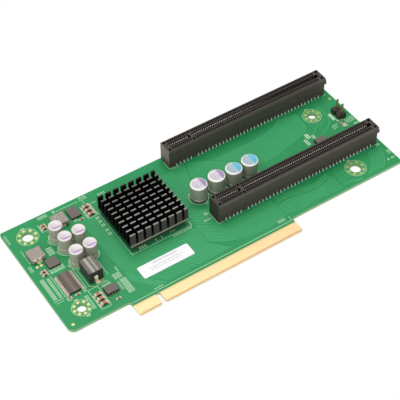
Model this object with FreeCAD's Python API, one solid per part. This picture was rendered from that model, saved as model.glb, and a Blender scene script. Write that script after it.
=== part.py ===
"""PCIe riser card: two upright x16 slots, a switch chip under a pin-fin heat sink and its power parts.

The card lies flat, component side up.  X runs along the card, Y from the gold edge towards the
rear, Z up.  The origin is under the centre of the board's outline, on the plane the leads rest on.
Places on the board are measured from its left end and from the shoulder beside the edge tab.
"""
import FreeCAD
import Part
import math
import os

V = FreeCAD.Vector
UP = V(0, 0, 1)
SMALLEST_EDGE = 1e-6

# --- sides given to the round parts that repeat, so that the whole card stays light ---
CAN_SIDES = 18
LEAD_SIDES = 6

# --- circuit board ---
BOARD_LENGTH = 176.2
BOARD_DEPTH = 64.3
BOARD_THICKNESS = 1.6
FRONT_LEFT_CORNER_RADIUS = 3.0
OTHER_CORNER_RADIUS = 1.0
LEAD_PROJECTION = 1.2

# --- card edge tab ---
TAB_LEFT = 28.5
TAB_DEPTH = 8.4
TAB_SHORT_WIDTH = 11.2
NOTCH_WIDTH = 1.9
TAB_LONG_WIDTH = 71.2
NOTCH_FLOOR = 2.2
TAB_CORNER_RADIUS = 0.9
TAB_SHOULDER_RADIUS = 1.2
TAB_BEVEL_DEPTH = 1.3
TAB_BEVEL_HEIGHT = 0.45

# --- mounting holes: distance from their own end of the board, place in y, diameter ---
LEFT_MOUNTING_HOLES = ((9.7, 55.8, 5.3), (10.0, 8.55, 4.2))
RIGHT_MOUNTING_HOLES = ((20.7, 8.3, 5.3), (16.45, 47.3, 3.8))

# --- x16 slots ---
SLOT_PITCH = 40.64
REAR_SLOT_FRONT = 56.3
SLOT_LEFT = 84.1
HOUSING_LENGTH = 89.5
HOUSING_WIDTH = 7.4
HOUSING_HEIGHT = 10.6
NOSE_TOP_REACH = 0.4
NOSE_TIP_REACH = 1.4
NOSE_HEIGHT = 3.9
NOSE_UNDERCUT = 0.2
SLOT_MOUTH_WIDTH = 1.7
SLOT_MOUTH_DEPTH = 1.1
CONTACT_BAY_WIDTH = 3.1
SLOT_FLOOR = 2.4
SLOT_LEFT_ROOM = 1.0
SLOT_RIGHT_ROOM = 1.9
KEY_WALL = 1.1
CONTACT_PITCH = 1.0
CONTACT_COUNT_BEFORE_KEY = 11
CONTACT_COUNT_AFTER_KEY = 71
FIRST_CONTACT = 3.0
KEY_STEP = 3.0
CONTACT_WIDTH = 0.5
CONTACT_ROOT = 0.5
CONTACT_WALL_GAP = 0.05
CONTACT_GAP = 1.3
CONTACT_TOP = 9.3
END_WINDOW = 1.0
END_WINDOW_DEPTH = 3.0
END_WINDOW_INSET = 0.95
END_WINDOW_END = 0.85
PEG_DIAMETER = 2.2
PEG_FIT = 0.1
PEG_LEFT = 14.5
PEG_RIGHT = 80.0

# --- heat sink, its pad and the switch chip ---
SINK_LEFT = 43.0
SINK_FRONT = 22.7
SINK_LENGTH = 29.8
SINK_DEPTH = 28.4
SINK_BASE = 1.2
SINK_HEIGHT = 7.6
SINK_COLUMN_PITCH = 3.97
SINK_COLUMN_GAP = 1.22
SINK_ROW_COUNT = 10
SINK_ROW_GAP = 2.04
PAD_SIDE = 24.0
PAD_THICKNESS = 0.3
SUBSTRATE_SIDE = 27.0
SUBSTRATE_HEIGHT = 1.3
CHIP_CAP_SIDE = 24.0
CHIP_CAP_HEIGHT = 1.2
CHIP_CAP_CHAMFER = 0.5

# --- polymer capacitors ---
LARGE_CAN_DIAMETER = 8.0
LARGE_CAN_TOP = 8.9
LARGE_LEAD_SPACING = 3.5
LARGE_CAN_PLACES = ((85.4, 33.6), (94.9, 33.4), (104.0, 32.9), (112.9, 33.1))
SMALL_CAN_DIAMETER = 6.3
SMALL_CAN_TOP = 8.2
SMALL_LEAD_SPACING = 2.5
SMALL_CAN_PLACES = ((20.3, 48.5), (20.8, 41.0), (27.7, 41.0), (21.1, 31.7), (28.0, 31.7))
BUNG_HEIGHT = 0.8
BUNG_OVERHANG = 0.1
CAN_RIM = 0.5
CRIMP_HEIGHT = 1.0
CRIMP_LENGTH = 0.7
CRIMP_DEPTH = 0.3
LEAD_DIAMETER = 0.6
LEAD_FIT = 0.15

# --- inductors ---
POWDER_CORE_LENGTH = 6.6
POWDER_CORE_DEPTH = 6.7
POWDER_CORE_HEIGHT = 2.8
POWDER_CORE_CHAMFER = 0.4
POWDER_CORE_PLACES = ((7.3, 43.5), (25.6, 55.4))
FOIL_WIDTH = 2.6
FOIL_THICKNESS = 0.25
FOIL_HEIGHT = 1.3
FOIL_FOOT = 1.2
FERRITE_LENGTH = 6.6
FERRITE_DEPTH = 9.0
FERRITE_HEIGHT = 6.8
FERRITE_CHAMFER = 0.35
FERRITE_PLACE = (22.7, 21.9)
FERRITE_RECESS_WIDTH = 3.0
FERRITE_RECESS_HEIGHT = 3.9
FERRITE_RECESS_DEPTH = 1.4
FERRITE_TERMINAL_WIDTH = 1.6
FERRITE_TERMINAL_THICKNESS = 0.4
FERRITE_TERMINAL_HEIGHT = 3.4

# --- chip packages: place, body length and depth, height ---
QFN_PACKAGES = (
    ("gate_driver_package", 33.3, 56.7, 5.1, 6.6, 1.0),
    ("regulator_package", 11.5, 36.5, 5.6, 5.2, 1.1),
)
BUFFER_PLACE = (12.1, 22.9)
BUFFER_BODY = (5.7, 12.0)
BUFFER_HEIGHT = 1.1
BUFFER_LEAD_COUNT = 24
BUFFER_LEAD_PITCH = 0.5
BUFFER_LEAD_WIDTH = 0.25
BUFFER_LEAD_REACH = 1.15
BUFFER_LEAD_THICKNESS = 0.18
SERIAL_MEMORY_PLACE = (25.1, 9.7)
CLOCK_CHIP_FROM_RIGHT = (23.6, 30.7)
SMALL_OUTLINE_BODY = (5.8, 4.5)
SMALL_OUTLINE_HEIGHT = 1.5
SMALL_OUTLINE_LEAD_COUNT = 4
SMALL_OUTLINE_LEAD_PITCH = 1.27
SMALL_OUTLINE_LEAD_WIDTH = 0.42
SMALL_OUTLINE_LEAD_REACH = 1.0
SMALL_OUTLINE_LEAD_THICKNESS = 0.22
PACKAGE_STANDOFF = 0.1
PACKAGE_DRAFT = 0.15

# --- ceramic capacitors and chip resistors: place ---
CERAMIC_LARGE = (3.2, 1.6, 1.25)
CERAMIC_LARGE_PLACES = (
    (39.8, 56.9), (39.8, 54.4), (39.8, 51.8),
    (19.1, 10.4), (19.1, 7.8), (19.1, 5.1),
)
CERAMIC_SMALL = (2.0, 1.25, 0.95)
CERAMIC_SMALL_PLACES = ((18.2, 57.6), (18.2, 55.8), (5.9, 34.3), (5.9, 32.4))
END_CAP_SHARE = 0.24
RESISTOR = (1.6, 0.85, 0.5)
RESISTOR_PLACES = ((12.3, 15.7), (8.3, 15.6), (25.6, 4.2), (34.6, 51.6))
END_CAP_SEAT = 0.05

# --- lamp and two-pin header: x is measured from the board's right end ---
LAMP_FROM_RIGHT = (7.7, 34.1)
LAMP = (1.5, 3.2, 1.1)
LAMP_LENS_DEPTH = 1.9
LAMP_LENS_CHAMFER = 0.15
HEADER_FROM_RIGHT = (5.3, 41.15)
HEADER_PITCH = 3.8
HEADER_BLOCK = (4.2, 2.8, 2.7)
HEADER_BRIDGE_WIDTH = 2.4
HEADER_PIN_SIDE = 0.8
HEADER_PIN_TOP = 8.4
HEADER_PIN_OFFSET = 0.4
HEADER_PIN_TIP = 0.24
HEADER_HOLE_DIAMETER = 1.4

# --- paper label ---
LABEL_PLACE = (53.0, 10.3)
LABEL = (25.7, 7.0)
LABEL_THICKNESS = 0.12
LABEL_CORNER_RADIUS = 0.8

# --- worked out from the sizes above ---
TAB_RIGHT = TAB_LEFT + TAB_SHORT_WIDTH + NOTCH_WIDTH + TAB_LONG_WIDTH
TOP = LEAD_PROJECTION + BOARD_THICKNESS
MIDDLE_X = BOARD_LENGTH / 2
MIDDLE_Y = (BOARD_DEPTH - TAB_DEPTH) / 2
SLOT_FRONTS = {"rear": REAR_SLOT_FRONT, "front": REAR_SLOT_FRONT - SLOT_PITCH}
KEY_CENTRE = FIRST_CONTACT + (CONTACT_COUNT_BEFORE_KEY - 1) * CONTACT_PITCH + KEY_STEP / 2
LAST_CONTACT = KEY_CENTRE + KEY_STEP / 2 + (CONTACT_COUNT_AFTER_KEY - 1) * CONTACT_PITCH


def at(x, y, z):
    """Point at board place x, y and height z over the board's top face."""
    return V(x - MIDDLE_X, y - MIDDLE_Y, TOP + z)


def from_right(place):
    """Board place of a part whose x is its distance from the board's right end."""
    return BOARD_LENGTH - place[0], place[1]


def block(centre, size, bottom=0.0):
    """Upright block of size (x, y, z) centred on a board place."""
    corner = at(centre[0] - size[0] / 2, centre[1] - size[1] / 2, bottom)
    return Part.makeBox(size[0], size[1], size[2], corner)


def rod(centre, diameter, bottom, top):
    """Upright cylinder at a board place between two heights."""
    return Part.makeCylinder(diameter / 2, top - bottom, at(centre[0], centre[1], bottom), UP)


def ring(centre, radius, z, sides):
    """Closed many-sided wire around a board place, its corners on the radius."""
    turn = 2 * math.pi / sides
    points = []
    for number in range(sides):
        angle = (number + 0.5) * turn
        points.append(at(centre[0] + radius * math.cos(angle), centre[1] + radius * math.sin(angle), z))
    return Part.makePolygon(points + [points[0]])


def turned(centre, section, sides):
    """Many-sided turning through (radius, height) levels, from the bottom to the top."""
    return Part.makeLoft([ring(centre, radius, z, sides) for radius, z in section], True, True)


def pillar(centre, diameter, bottom, top, sides=LEAD_SIDES):
    """Upright many-sided rod at a board place between two heights."""
    return turned(centre, ((diameter / 2, bottom), (diameter / 2, top)), sides)


def prism(points, along):
    """Solid swept from a flat polygon along a vector."""
    return Part.Face(Part.makePolygon(list(points) + [points[0]])).extrude(along)


def rounded_outline(corners, z):
    """Closed wire through (x, y, radius) corners, each rounded by a tangent arc."""
    edges = []
    ends = []
    count = len(corners)
    for index, (x, y, radius) in enumerate(corners):
        corner = at(x, y, z)
        before = at(*corners[index - 1][:2], z) - corner
        after = at(*corners[(index + 1) % count][:2], z) - corner
        if radius == 0:
            ends.append((corner, None, corner))
            continue
        half_angle = before.getAngle(after) / 2
        before.normalize()
        after.normalize()
        tangent = radius / math.tan(half_angle)
        to_centre = (before + after).normalize() * (radius / math.sin(half_angle))
        nearest = to_centre * (1 - radius / to_centre.Length)
        ends.append((corner + before * tangent, corner + nearest, corner + after * tangent))
    for index, (start, middle, finish) in enumerate(ends):
        if middle is not None:
            edges.append(Part.Arc(start, middle, finish).toShape())
        following = ends[(index + 1) % count][0]
        if finish.distanceToPoint(following) > SMALLEST_EDGE:
            edges.append(Part.makeLine(finish, following))
    return Part.Wire(edges)


def drafted(centre, size, bottom, draft):
    """Moulded block whose sides lean in by draft at the bottom and the top of its middle line."""
    x, y = centre
    half_x, half_y, height = size[0] / 2, size[1] / 2, size[2]
    sections = []
    for inset, z in ((draft, bottom), (0.0, bottom + height / 2), (draft, bottom + height)):
        left, right = x - half_x + inset, x + half_x - inset
        front, back = y - half_y + inset, y + half_y - inset
        ring = [at(left, front, z), at(right, front, z), at(right, back, z), at(left, back, z)]
        sections.append(Part.makePolygon(ring + [ring[0]]))
    return Part.makeLoft(sections, True, True)


def chamfered_top(shape, size):
    """Block with its four top edges chamfered."""
    top = shape.BoundBox.ZMax
    edges = [e for e in shape.Edges if e.BoundBox.ZMin > top - SMALLEST_EDGE]
    return shape.makeChamfer(size, edges)


def lead_places(centre, spacing):
    """The two leads of a radial part, in line with the card's long way."""
    return [(centre[0] + side * spacing / 2, centre[1]) for side in (-1, 1)]


def contact_places():
    """Distance of every contact from the housing's left end."""
    before = [FIRST_CONTACT + number * CONTACT_PITCH for number in range(CONTACT_COUNT_BEFORE_KEY)]
    after = [LAST_CONTACT - number * CONTACT_PITCH for number in range(CONTACT_COUNT_AFTER_KEY)]
    return before + after[::-1]


# ---------------------------------------------------------------- board
def circuit_board():
    """Board with its notched, bevelled edge tab and every hole drilled."""
    notch_left = TAB_LEFT + TAB_SHORT_WIDTH
    notch_right = notch_left + NOTCH_WIDTH
    tip = TAB_CORNER_RADIUS
    outline = rounded_outline([
        (0, 0, FRONT_LEFT_CORNER_RADIUS),
        (TAB_LEFT, 0, TAB_SHOULDER_RADIUS),
        (TAB_LEFT, -TAB_DEPTH, tip),
        (notch_left, -TAB_DEPTH, tip),
        (notch_left, -NOTCH_FLOOR, NOTCH_WIDTH / 2),
        (notch_right, -NOTCH_FLOOR, NOTCH_WIDTH / 2),
        (notch_right, -TAB_DEPTH, tip),
        (TAB_RIGHT, -TAB_DEPTH, tip),
        (TAB_RIGHT, 0, TAB_SHOULDER_RADIUS),
        (BOARD_LENGTH, 0, OTHER_CORNER_RADIUS),
        (BOARD_LENGTH, BOARD_DEPTH, OTHER_CORNER_RADIUS),
        (0, BOARD_DEPTH, OTHER_CORNER_RADIUS),
    ], -BOARD_THICKNESS)
    board = Part.Face(outline).extrude(UP * BOARD_THICKNESS)
    tools = []
    for face, lean in ((0.0, -1), (-BOARD_THICKNESS, 1)):
        bevel = [
            at(TAB_LEFT, -TAB_DEPTH + TAB_BEVEL_DEPTH, face),
            at(TAB_LEFT, -TAB_DEPTH, face),
            at(TAB_LEFT, -TAB_DEPTH, face + lean * TAB_BEVEL_HEIGHT),
        ]
        tools.append(prism(bevel, V(TAB_RIGHT - TAB_LEFT, 0, 0)))
    for x, y, diameter in LEFT_MOUNTING_HOLES:
        tools.append(rod((x, y), diameter, -BOARD_THICKNESS, 0))
    for x, y, diameter in RIGHT_MOUNTING_HOLES:
        tools.append(rod((BOARD_LENGTH - x, y), diameter, -BOARD_THICKNESS, 0))
    for places, spacing in (
        (LARGE_CAN_PLACES, LARGE_LEAD_SPACING),
        (SMALL_CAN_PLACES, SMALL_LEAD_SPACING),
    ):
        for place in places:
            for lead in lead_places(place, spacing):
                tools.append(pillar(lead, LEAD_DIAMETER + 2 * LEAD_FIT, -BOARD_THICKNESS, 0))
    for pin in header_pin_places():
        tools.append(pillar(pin, HEADER_HOLE_DIAMETER, -BOARD_THICKNESS, 0))
    for front in SLOT_FRONTS.values():
        for peg in peg_places(front):
            tools.append(pillar(peg, PEG_DIAMETER + 2 * PEG_FIT, -BOARD_THICKNESS, 0))
    return board.cut(tools)


# ---------------------------------------------------------------- slots
def peg_places(front):
    """Board places of a housing's two locating pegs."""
    return [(SLOT_LEFT + x, front + HOUSING_WIDTH / 2) for x in (PEG_LEFT, PEG_RIGHT)]


def slot_housing(front):
    """Moulded body: keyed card slot over a contact bay, end windows, latch nose and two pegs."""
    length, height = HOUSING_LENGTH, HOUSING_HEIGHT
    nose_bottom = height - NOSE_HEIGHT
    side = [
        (0, 0), (length, 0), (length, nose_bottom - NOSE_UNDERCUT),
        (length + NOSE_TIP_REACH, nose_bottom), (length + NOSE_TOP_REACH, height), (0, height),
    ]
    body = prism([at(SLOT_LEFT + x, front, z) for x, z in side], V(0, HOUSING_WIDTH, 0))
    middle = front + HOUSING_WIDTH / 2
    slot_start = FIRST_CONTACT - SLOT_LEFT_ROOM
    slot_stop = LAST_CONTACT + SLOT_RIGHT_ROOM
    tools = []
    for left, right in (
        (slot_start, KEY_CENTRE - KEY_WALL / 2),
        (KEY_CENTRE + KEY_WALL / 2, slot_stop),
    ):
        centre = (SLOT_LEFT + (left + right) / 2, middle)
        mouth_bottom = height - SLOT_MOUTH_DEPTH
        tools.append(block(centre, (right - left, SLOT_MOUTH_WIDTH, SLOT_MOUTH_DEPTH), mouth_bottom))
        bay = (right - left, CONTACT_BAY_WIDTH, mouth_bottom - SLOT_FLOOR)
        tools.append(block(centre, bay, SLOT_FLOOR))
    window_rows = (front + END_WINDOW_INSET, front + HOUSING_WIDTH - END_WINDOW_INSET)
    right_window = length + NOSE_TOP_REACH - END_WINDOW_END - END_WINDOW / 2
    for x in (END_WINDOW_END + END_WINDOW / 2, KEY_CENTRE, right_window):
        for y in window_rows:
            window = (END_WINDOW, END_WINDOW, END_WINDOW_DEPTH)
            tools.append(block((SLOT_LEFT + x, y), window, height - END_WINDOW_DEPTH))
    body = body.cut(tools)
    tip = -BOARD_THICKNESS - LEAD_PROJECTION
    pegs = [pillar(peg, PEG_DIAMETER, tip, 0) for peg in peg_places(front)]
    return body.fuse(pegs)


def slot_contacts(front):
    """Both rows of spring contacts, each leaning from the bay's wall to show in the slot."""
    middle = front + HOUSING_WIDTH / 2
    wall = CONTACT_BAY_WIDTH / 2 - CONTACT_WALL_GAP
    section = ((wall, SLOT_FLOOR), (wall - CONTACT_ROOT, SLOT_FLOOR), (CONTACT_GAP / 2, CONTACT_TOP))
    contacts = []
    for x in contact_places():
        left = SLOT_LEFT + x - CONTACT_WIDTH / 2
        for side in (-1, 1):
            points = [at(left, middle + side * out, z) for out, z in section]
            contacts.append(prism(points, V(CONTACT_WIDTH, 0, 0)))
    return contacts


# ---------------------------------------------------------------- switch chip and heat sink
def sink_centre():
    """Board place under the middle of the heat sink."""
    return SINK_LEFT + SINK_LENGTH / 2, SINK_FRONT + SINK_DEPTH / 2


def heat_sink(bottom):
    """Extruded fins sawn across into blade pins that stand on one base."""
    sink = block(sink_centre(), (SINK_LENGTH, SINK_DEPTH, SINK_HEIGHT), bottom)
    blade_height = SINK_HEIGHT - SINK_BASE
    tools = []
    column = SINK_COLUMN_PITCH - SINK_COLUMN_GAP
    while column < SINK_LENGTH:
        corner = at(SINK_LEFT + column, SINK_FRONT, bottom + SINK_BASE)
        tools.append(Part.makeBox(SINK_COLUMN_GAP, SINK_DEPTH, blade_height, corner))
        column += SINK_COLUMN_PITCH
    row_pitch = (SINK_DEPTH + SINK_ROW_GAP) / SINK_ROW_COUNT
    for row in range(1, SINK_ROW_COUNT):
        corner = at(SINK_LEFT, SINK_FRONT + row * row_pitch - SINK_ROW_GAP, bottom + SINK_BASE)
        tools.append(Part.makeBox(SINK_LENGTH, SINK_ROW_GAP, blade_height, corner))
    return sink.cut(tools)


def switch_stack():
    """Substrate, moulded cap, thermal pad and heat sink, each seated on the one below."""
    centre = sink_centre()
    substrate = block(centre, (SUBSTRATE_SIDE, SUBSTRATE_SIDE, SUBSTRATE_HEIGHT))
    cap_size = (CHIP_CAP_SIDE + 2 * CHIP_CAP_CHAMFER, CHIP_CAP_SIDE + 2 * CHIP_CAP_CHAMFER, CHIP_CAP_HEIGHT)
    cap = chamfered_top(block(centre, cap_size, SUBSTRATE_HEIGHT), CHIP_CAP_CHAMFER)
    pad_bottom = SUBSTRATE_HEIGHT + CHIP_CAP_HEIGHT
    pad = block(centre, (PAD_SIDE, PAD_SIDE, PAD_THICKNESS), pad_bottom)
    return {
        "switch_chip_substrate": [substrate],
        "switch_chip_cap": [cap],
        "thermal_pad": [pad],
        "heat_sink": [heat_sink(pad_bottom + PAD_THICKNESS)],
    }


# ---------------------------------------------------------------- polymer capacitors
def capacitor_can(centre, diameter, top):
    """Aluminium can with a crimped neck over its base and a rounded rim."""
    r = diameter / 2
    crimp = BUNG_HEIGHT + CRIMP_HEIGHT
    return turned(centre, (
        (r, BUNG_HEIGHT), (r, crimp - CRIMP_LENGTH / 2), (r - CRIMP_DEPTH, crimp),
        (r, crimp + CRIMP_LENGTH / 2), (r, top - CAN_RIM), (r - CAN_RIM, top),
    ), CAN_SIDES)


def capacitor_bung(centre, diameter):
    """Rubber base between the can and the board."""
    return pillar(centre, diameter + 2 * BUNG_OVERHANG, 0, BUNG_HEIGHT, CAN_SIDES)


def capacitor_leads(centre, spacing):
    """Two leads that leave the base and pass through the board."""
    tip = -BOARD_THICKNESS - LEAD_PROJECTION
    return [pillar(lead, LEAD_DIAMETER, tip, 0) for lead in lead_places(centre, spacing)]


def capacitors(prefix, places, diameter, top, spacing):
    """Can, base and leads of every capacitor of one size."""
    nodes = {}
    for number, place in enumerate(places, 1):
        nodes[f"{prefix}_can_{number}"] = [capacitor_can(place, diameter, top)]
        nodes[f"{prefix}_base_{number}"] = [capacitor_bung(place, diameter)]
        nodes[f"{prefix}_leads_{number}"] = capacitor_leads(place, spacing)
    return nodes


# ---------------------------------------------------------------- inductors
def powder_core(place):
    """Pressed powder body that stands on the feet of its two foil ends."""
    size = (POWDER_CORE_LENGTH, POWDER_CORE_DEPTH, POWDER_CORE_HEIGHT - FOIL_THICKNESS)
    return chamfered_top(block(place, size, FOIL_THICKNESS), POWDER_CORE_CHAMFER)


def foil_ends(place):
    """Two copper foils: up the end face of the core and folded under it."""
    x, y = place
    foils = []
    for side in (-1, 1):
        face = y + side * POWDER_CORE_DEPTH / 2
        section = [
            (face + side * FOIL_THICKNESS, 0), (face + side * FOIL_THICKNESS, FOIL_HEIGHT),
            (face, FOIL_HEIGHT), (face, FOIL_THICKNESS),
            (face - side * FOIL_FOOT, FOIL_THICKNESS), (face - side * FOIL_FOOT, 0),
        ]
        points = [at(x - FOIL_WIDTH / 2, foil_y, foil_z) for foil_y, foil_z in section]
        foils.append(prism(points, V(FOIL_WIDTH, 0, 0)))
    return foils


def ferrite_core():
    """Tall ferrite block with a wire recess in its front and back faces."""
    x, y = FERRITE_PLACE
    core = chamfered_top(
        block(FERRITE_PLACE, (FERRITE_LENGTH, FERRITE_DEPTH, FERRITE_HEIGHT)), FERRITE_CHAMFER
    )
    recess = (FERRITE_RECESS_WIDTH, FERRITE_RECESS_DEPTH, FERRITE_RECESS_HEIGHT)
    reach = (FERRITE_DEPTH - FERRITE_RECESS_DEPTH) / 2
    return core.cut([block((x, y + side * reach), recess) for side in (-1, 1)])


def ferrite_terminals():
    """Bent strip in each recess: a foot on the board and a tab up the recess's back wall."""
    x, y = FERRITE_PLACE
    wall = FERRITE_DEPTH / 2 - FERRITE_RECESS_DEPTH
    strip = FERRITE_TERMINAL_THICKNESS
    section = (
        (wall, 0), (FERRITE_DEPTH / 2, 0), (FERRITE_DEPTH / 2, strip),
        (wall + strip, strip), (wall + strip, FERRITE_TERMINAL_HEIGHT), (wall, FERRITE_TERMINAL_HEIGHT),
    )
    terminals = []
    for side in (-1, 1):
        points = [at(x - FERRITE_TERMINAL_WIDTH / 2, y + side * out, z) for out, z in section]
        terminals.append(prism(points, V(FERRITE_TERMINAL_WIDTH, 0, 0)))
    return terminals


# ---------------------------------------------------------------- chip packages
def lead_section(inner, reach, thickness, exit_height):
    """Section of one lead: it slants from the body's side down to the board."""
    return (
        (inner, exit_height + thickness / 2), (inner, exit_height - thickness / 2),
        (inner + reach, 0), (inner + reach, thickness),
    )


def lead_row(count, pitch, width):
    """Lower edge of every lead in a row about its middle."""
    return [(number - (count - 1) / 2) * pitch - width / 2 for number in range(count)]


def buffer_package():
    """Long thin package with a comb of fine leads down both long sides."""
    x, y = BUFFER_PLACE
    length, depth = BUFFER_BODY
    height = BUFFER_HEIGHT - PACKAGE_STANDOFF
    body = drafted(BUFFER_PLACE, (length, depth, height), PACKAGE_STANDOFF, PACKAGE_DRAFT)
    exit_height = PACKAGE_STANDOFF + height / 2
    section = lead_section(length / 2, BUFFER_LEAD_REACH, BUFFER_LEAD_THICKNESS, exit_height)
    leads = []
    for offset in lead_row(BUFFER_LEAD_COUNT, BUFFER_LEAD_PITCH, BUFFER_LEAD_WIDTH):
        for side in (-1, 1):
            points = [at(x + side * out, y + offset, z) for out, z in section]
            leads.append(prism(points, V(0, BUFFER_LEAD_WIDTH, 0)))
    return {"buffer_package": [body], "buffer_leads": leads}


def small_outline(name, place):
    """Eight-lead package with its leads to the front and the rear."""
    x, y = place
    length, depth = SMALL_OUTLINE_BODY
    height = SMALL_OUTLINE_HEIGHT - PACKAGE_STANDOFF
    body = drafted((x, y), (length, depth, height), PACKAGE_STANDOFF, PACKAGE_DRAFT)
    exit_height = PACKAGE_STANDOFF + height / 2
    section = lead_section(depth / 2, SMALL_OUTLINE_LEAD_REACH, SMALL_OUTLINE_LEAD_THICKNESS, exit_height)
    leads = []
    for offset in lead_row(SMALL_OUTLINE_LEAD_COUNT, SMALL_OUTLINE_LEAD_PITCH, SMALL_OUTLINE_LEAD_WIDTH):
        for side in (-1, 1):
            points = [at(x + offset, y + side * out, z) for out, z in section]
            leads.append(prism(points, V(SMALL_OUTLINE_LEAD_WIDTH, 0, 0)))
    return {name + "_package": [body], name + "_leads": leads}


# ---------------------------------------------------------------- chip parts
def chip_part(place, size):
    """Body and two wrapped end caps of a leadless chip part, its long way along X."""
    length, depth, height = size
    cap = length * END_CAP_SHARE
    body = block(place, (length - 2 * cap, depth, height - END_CAP_SEAT), END_CAP_SEAT)
    reach = (length - cap) / 2
    caps = [block((place[0] + side * reach, place[1]), (cap, depth, height)) for side in (-1, 1)]
    return body, caps


def chip_parts(name, groups):
    """All the bodies in one node and all their end caps in another."""
    bodies = []
    caps = []
    for places, size in groups:
        for place in places:
            body, ends = chip_part(place, size)
            bodies.append(body)
            caps.extend(ends)
    return {name + "_bodies": bodies, name + "_end_caps": caps}


def indicator_lamp():
    """Small surface lamp: a clear block on a base with plated ends."""
    length, depth, height = LAMP
    place = from_right(LAMP_FROM_RIGHT)
    base = block(place, (length, depth, height / 2))
    lens = block(place, (length, LAMP_LENS_DEPTH, height / 2), height / 2)
    return {"lamp_base": [base], "lamp_lens": [chamfered_top(lens, LAMP_LENS_CHAMFER)]}


# ---------------------------------------------------------------- header
def header_pin_places():
    """Board places of the header's two pins."""
    x, y = from_right(HEADER_FROM_RIGHT)
    return [(x + HEADER_PIN_OFFSET, y + side * HEADER_PITCH / 2) for side in (-1, 1)]


def pin_header():
    """Two moulded blocks joined by a narrow bridge, with a square tapered pin in each."""
    x, y = from_right(HEADER_FROM_RIGHT)
    bridge = block((x, y), (HEADER_BRIDGE_WIDTH, HEADER_PITCH, HEADER_BLOCK[2]))
    blocks = [block((x, y + side * HEADER_PITCH / 2), HEADER_BLOCK) for side in (-1, 1)]
    body = bridge.fuse(blocks).removeSplitter()
    pins = []
    bottom = -BOARD_THICKNESS - LEAD_PROJECTION
    for place in header_pin_places():
        pin = (HEADER_PIN_SIDE, HEADER_PIN_SIDE, HEADER_PIN_TOP - bottom)
        body = body.cut(block(place, pin, bottom))
        shaft = block(place, pin, bottom)
        pins.append(chamfered_top(shaft, HEADER_PIN_TIP))
    return {"header_body": [body], "header_pins": pins}


# ---------------------------------------------------------------- label
def label():
    """Paper label with rounded corners, stuck flat on the board."""
    x, y = LABEL_PLACE
    length, depth = LABEL
    corners = [
        (x + sx * length / 2, y + sy * depth / 2, LABEL_CORNER_RADIUS)
        for sx, sy in ((-1, -1), (1, -1), (1, 1), (-1, 1))
    ]
    return Part.Face(rounded_outline(corners, 0)).extrude(UP * LABEL_THICKNESS)


# ---------------------------------------------------------------- all nodes
def nodes():
    """Every node's name with its list of solids."""
    made = {"circuit_board": [circuit_board()], "paper_label": [label()]}
    for name, front in SLOT_FRONTS.items():
        made[f"{name}_slot_housing"] = [slot_housing(front)]
        made[f"{name}_slot_contacts"] = slot_contacts(front)
    made.update(switch_stack())
    made.update(capacitors(
        "large_capacitor", LARGE_CAN_PLACES, LARGE_CAN_DIAMETER, LARGE_CAN_TOP, LARGE_LEAD_SPACING
    ))
    made.update(capacitors(
        "small_capacitor", SMALL_CAN_PLACES, SMALL_CAN_DIAMETER, SMALL_CAN_TOP, SMALL_LEAD_SPACING
    ))
    for number, place in enumerate(POWDER_CORE_PLACES, 1):
        made[f"powder_inductor_core_{number}"] = [powder_core(place)]
        made[f"powder_inductor_foils_{number}"] = foil_ends(place)
    made["ferrite_inductor_core"] = [ferrite_core()]
    made["ferrite_inductor_terminals"] = ferrite_terminals()
    for name, x, y, length, depth, height in QFN_PACKAGES:
        made[name] = [drafted((x, y), (length, depth, height), 0, PACKAGE_DRAFT / 2)]
    made.update(buffer_package())
    made.update(small_outline("serial_memory", SERIAL_MEMORY_PLACE))
    made.update(small_outline("clock_chip", from_right(CLOCK_CHIP_FROM_RIGHT)))
    made.update(chip_parts("ceramic_capacitor", (
        (CERAMIC_LARGE_PLACES, CERAMIC_LARGE), (CERAMIC_SMALL_PLACES, CERAMIC_SMALL)
    )))
    made.update(chip_parts("chip_resistor", ((RESISTOR_PLACES, RESISTOR),)))
    made.update(indicator_lamp())
    made.update(pin_header())
    return made


os.makedirs("parts", exist_ok=True)
for node_name, solids in nodes().items():
    shape = solids[0] if len(solids) == 1 else Part.makeCompound(solids)
    shape.exportStep(f"parts/{node_name}.step")
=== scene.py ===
"""Looks of a PCIe riser card: its printed board, slots, heat sink, capacitors and chips."""

import math

import bpy
import numpy as np
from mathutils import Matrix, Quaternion, Vector


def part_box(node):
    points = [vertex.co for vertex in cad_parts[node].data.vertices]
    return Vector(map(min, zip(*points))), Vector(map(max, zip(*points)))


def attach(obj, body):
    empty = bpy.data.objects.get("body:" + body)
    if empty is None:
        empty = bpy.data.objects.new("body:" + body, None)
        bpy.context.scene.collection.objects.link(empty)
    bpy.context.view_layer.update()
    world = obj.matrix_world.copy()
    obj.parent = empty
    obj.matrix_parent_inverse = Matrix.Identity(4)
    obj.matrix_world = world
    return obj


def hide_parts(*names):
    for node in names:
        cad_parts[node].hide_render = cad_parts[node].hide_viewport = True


bl_info = {
    "name": "Riser card",
    "version": (1, 0, 0),
    "blender": (4, 5, 0),
    "location": "View3D > Sidebar > Riser card",
    "description": "Builds the visible pieces and finishes of a PCIe riser card",
    "category": "Object",
}

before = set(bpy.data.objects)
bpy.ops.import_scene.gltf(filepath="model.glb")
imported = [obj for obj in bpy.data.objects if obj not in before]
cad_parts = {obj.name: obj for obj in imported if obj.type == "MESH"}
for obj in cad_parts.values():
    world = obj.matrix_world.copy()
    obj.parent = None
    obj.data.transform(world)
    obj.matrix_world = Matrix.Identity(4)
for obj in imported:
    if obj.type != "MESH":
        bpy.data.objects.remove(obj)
MM = 0.001
TAU = 2 * math.pi


# ------------------------------------------------------------------ places
def corners(node):
    """Lowest and highest corner of a CAD node, in millimetres."""
    low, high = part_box(node)
    return np.array(low) / MM, np.array(high) / MM


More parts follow.
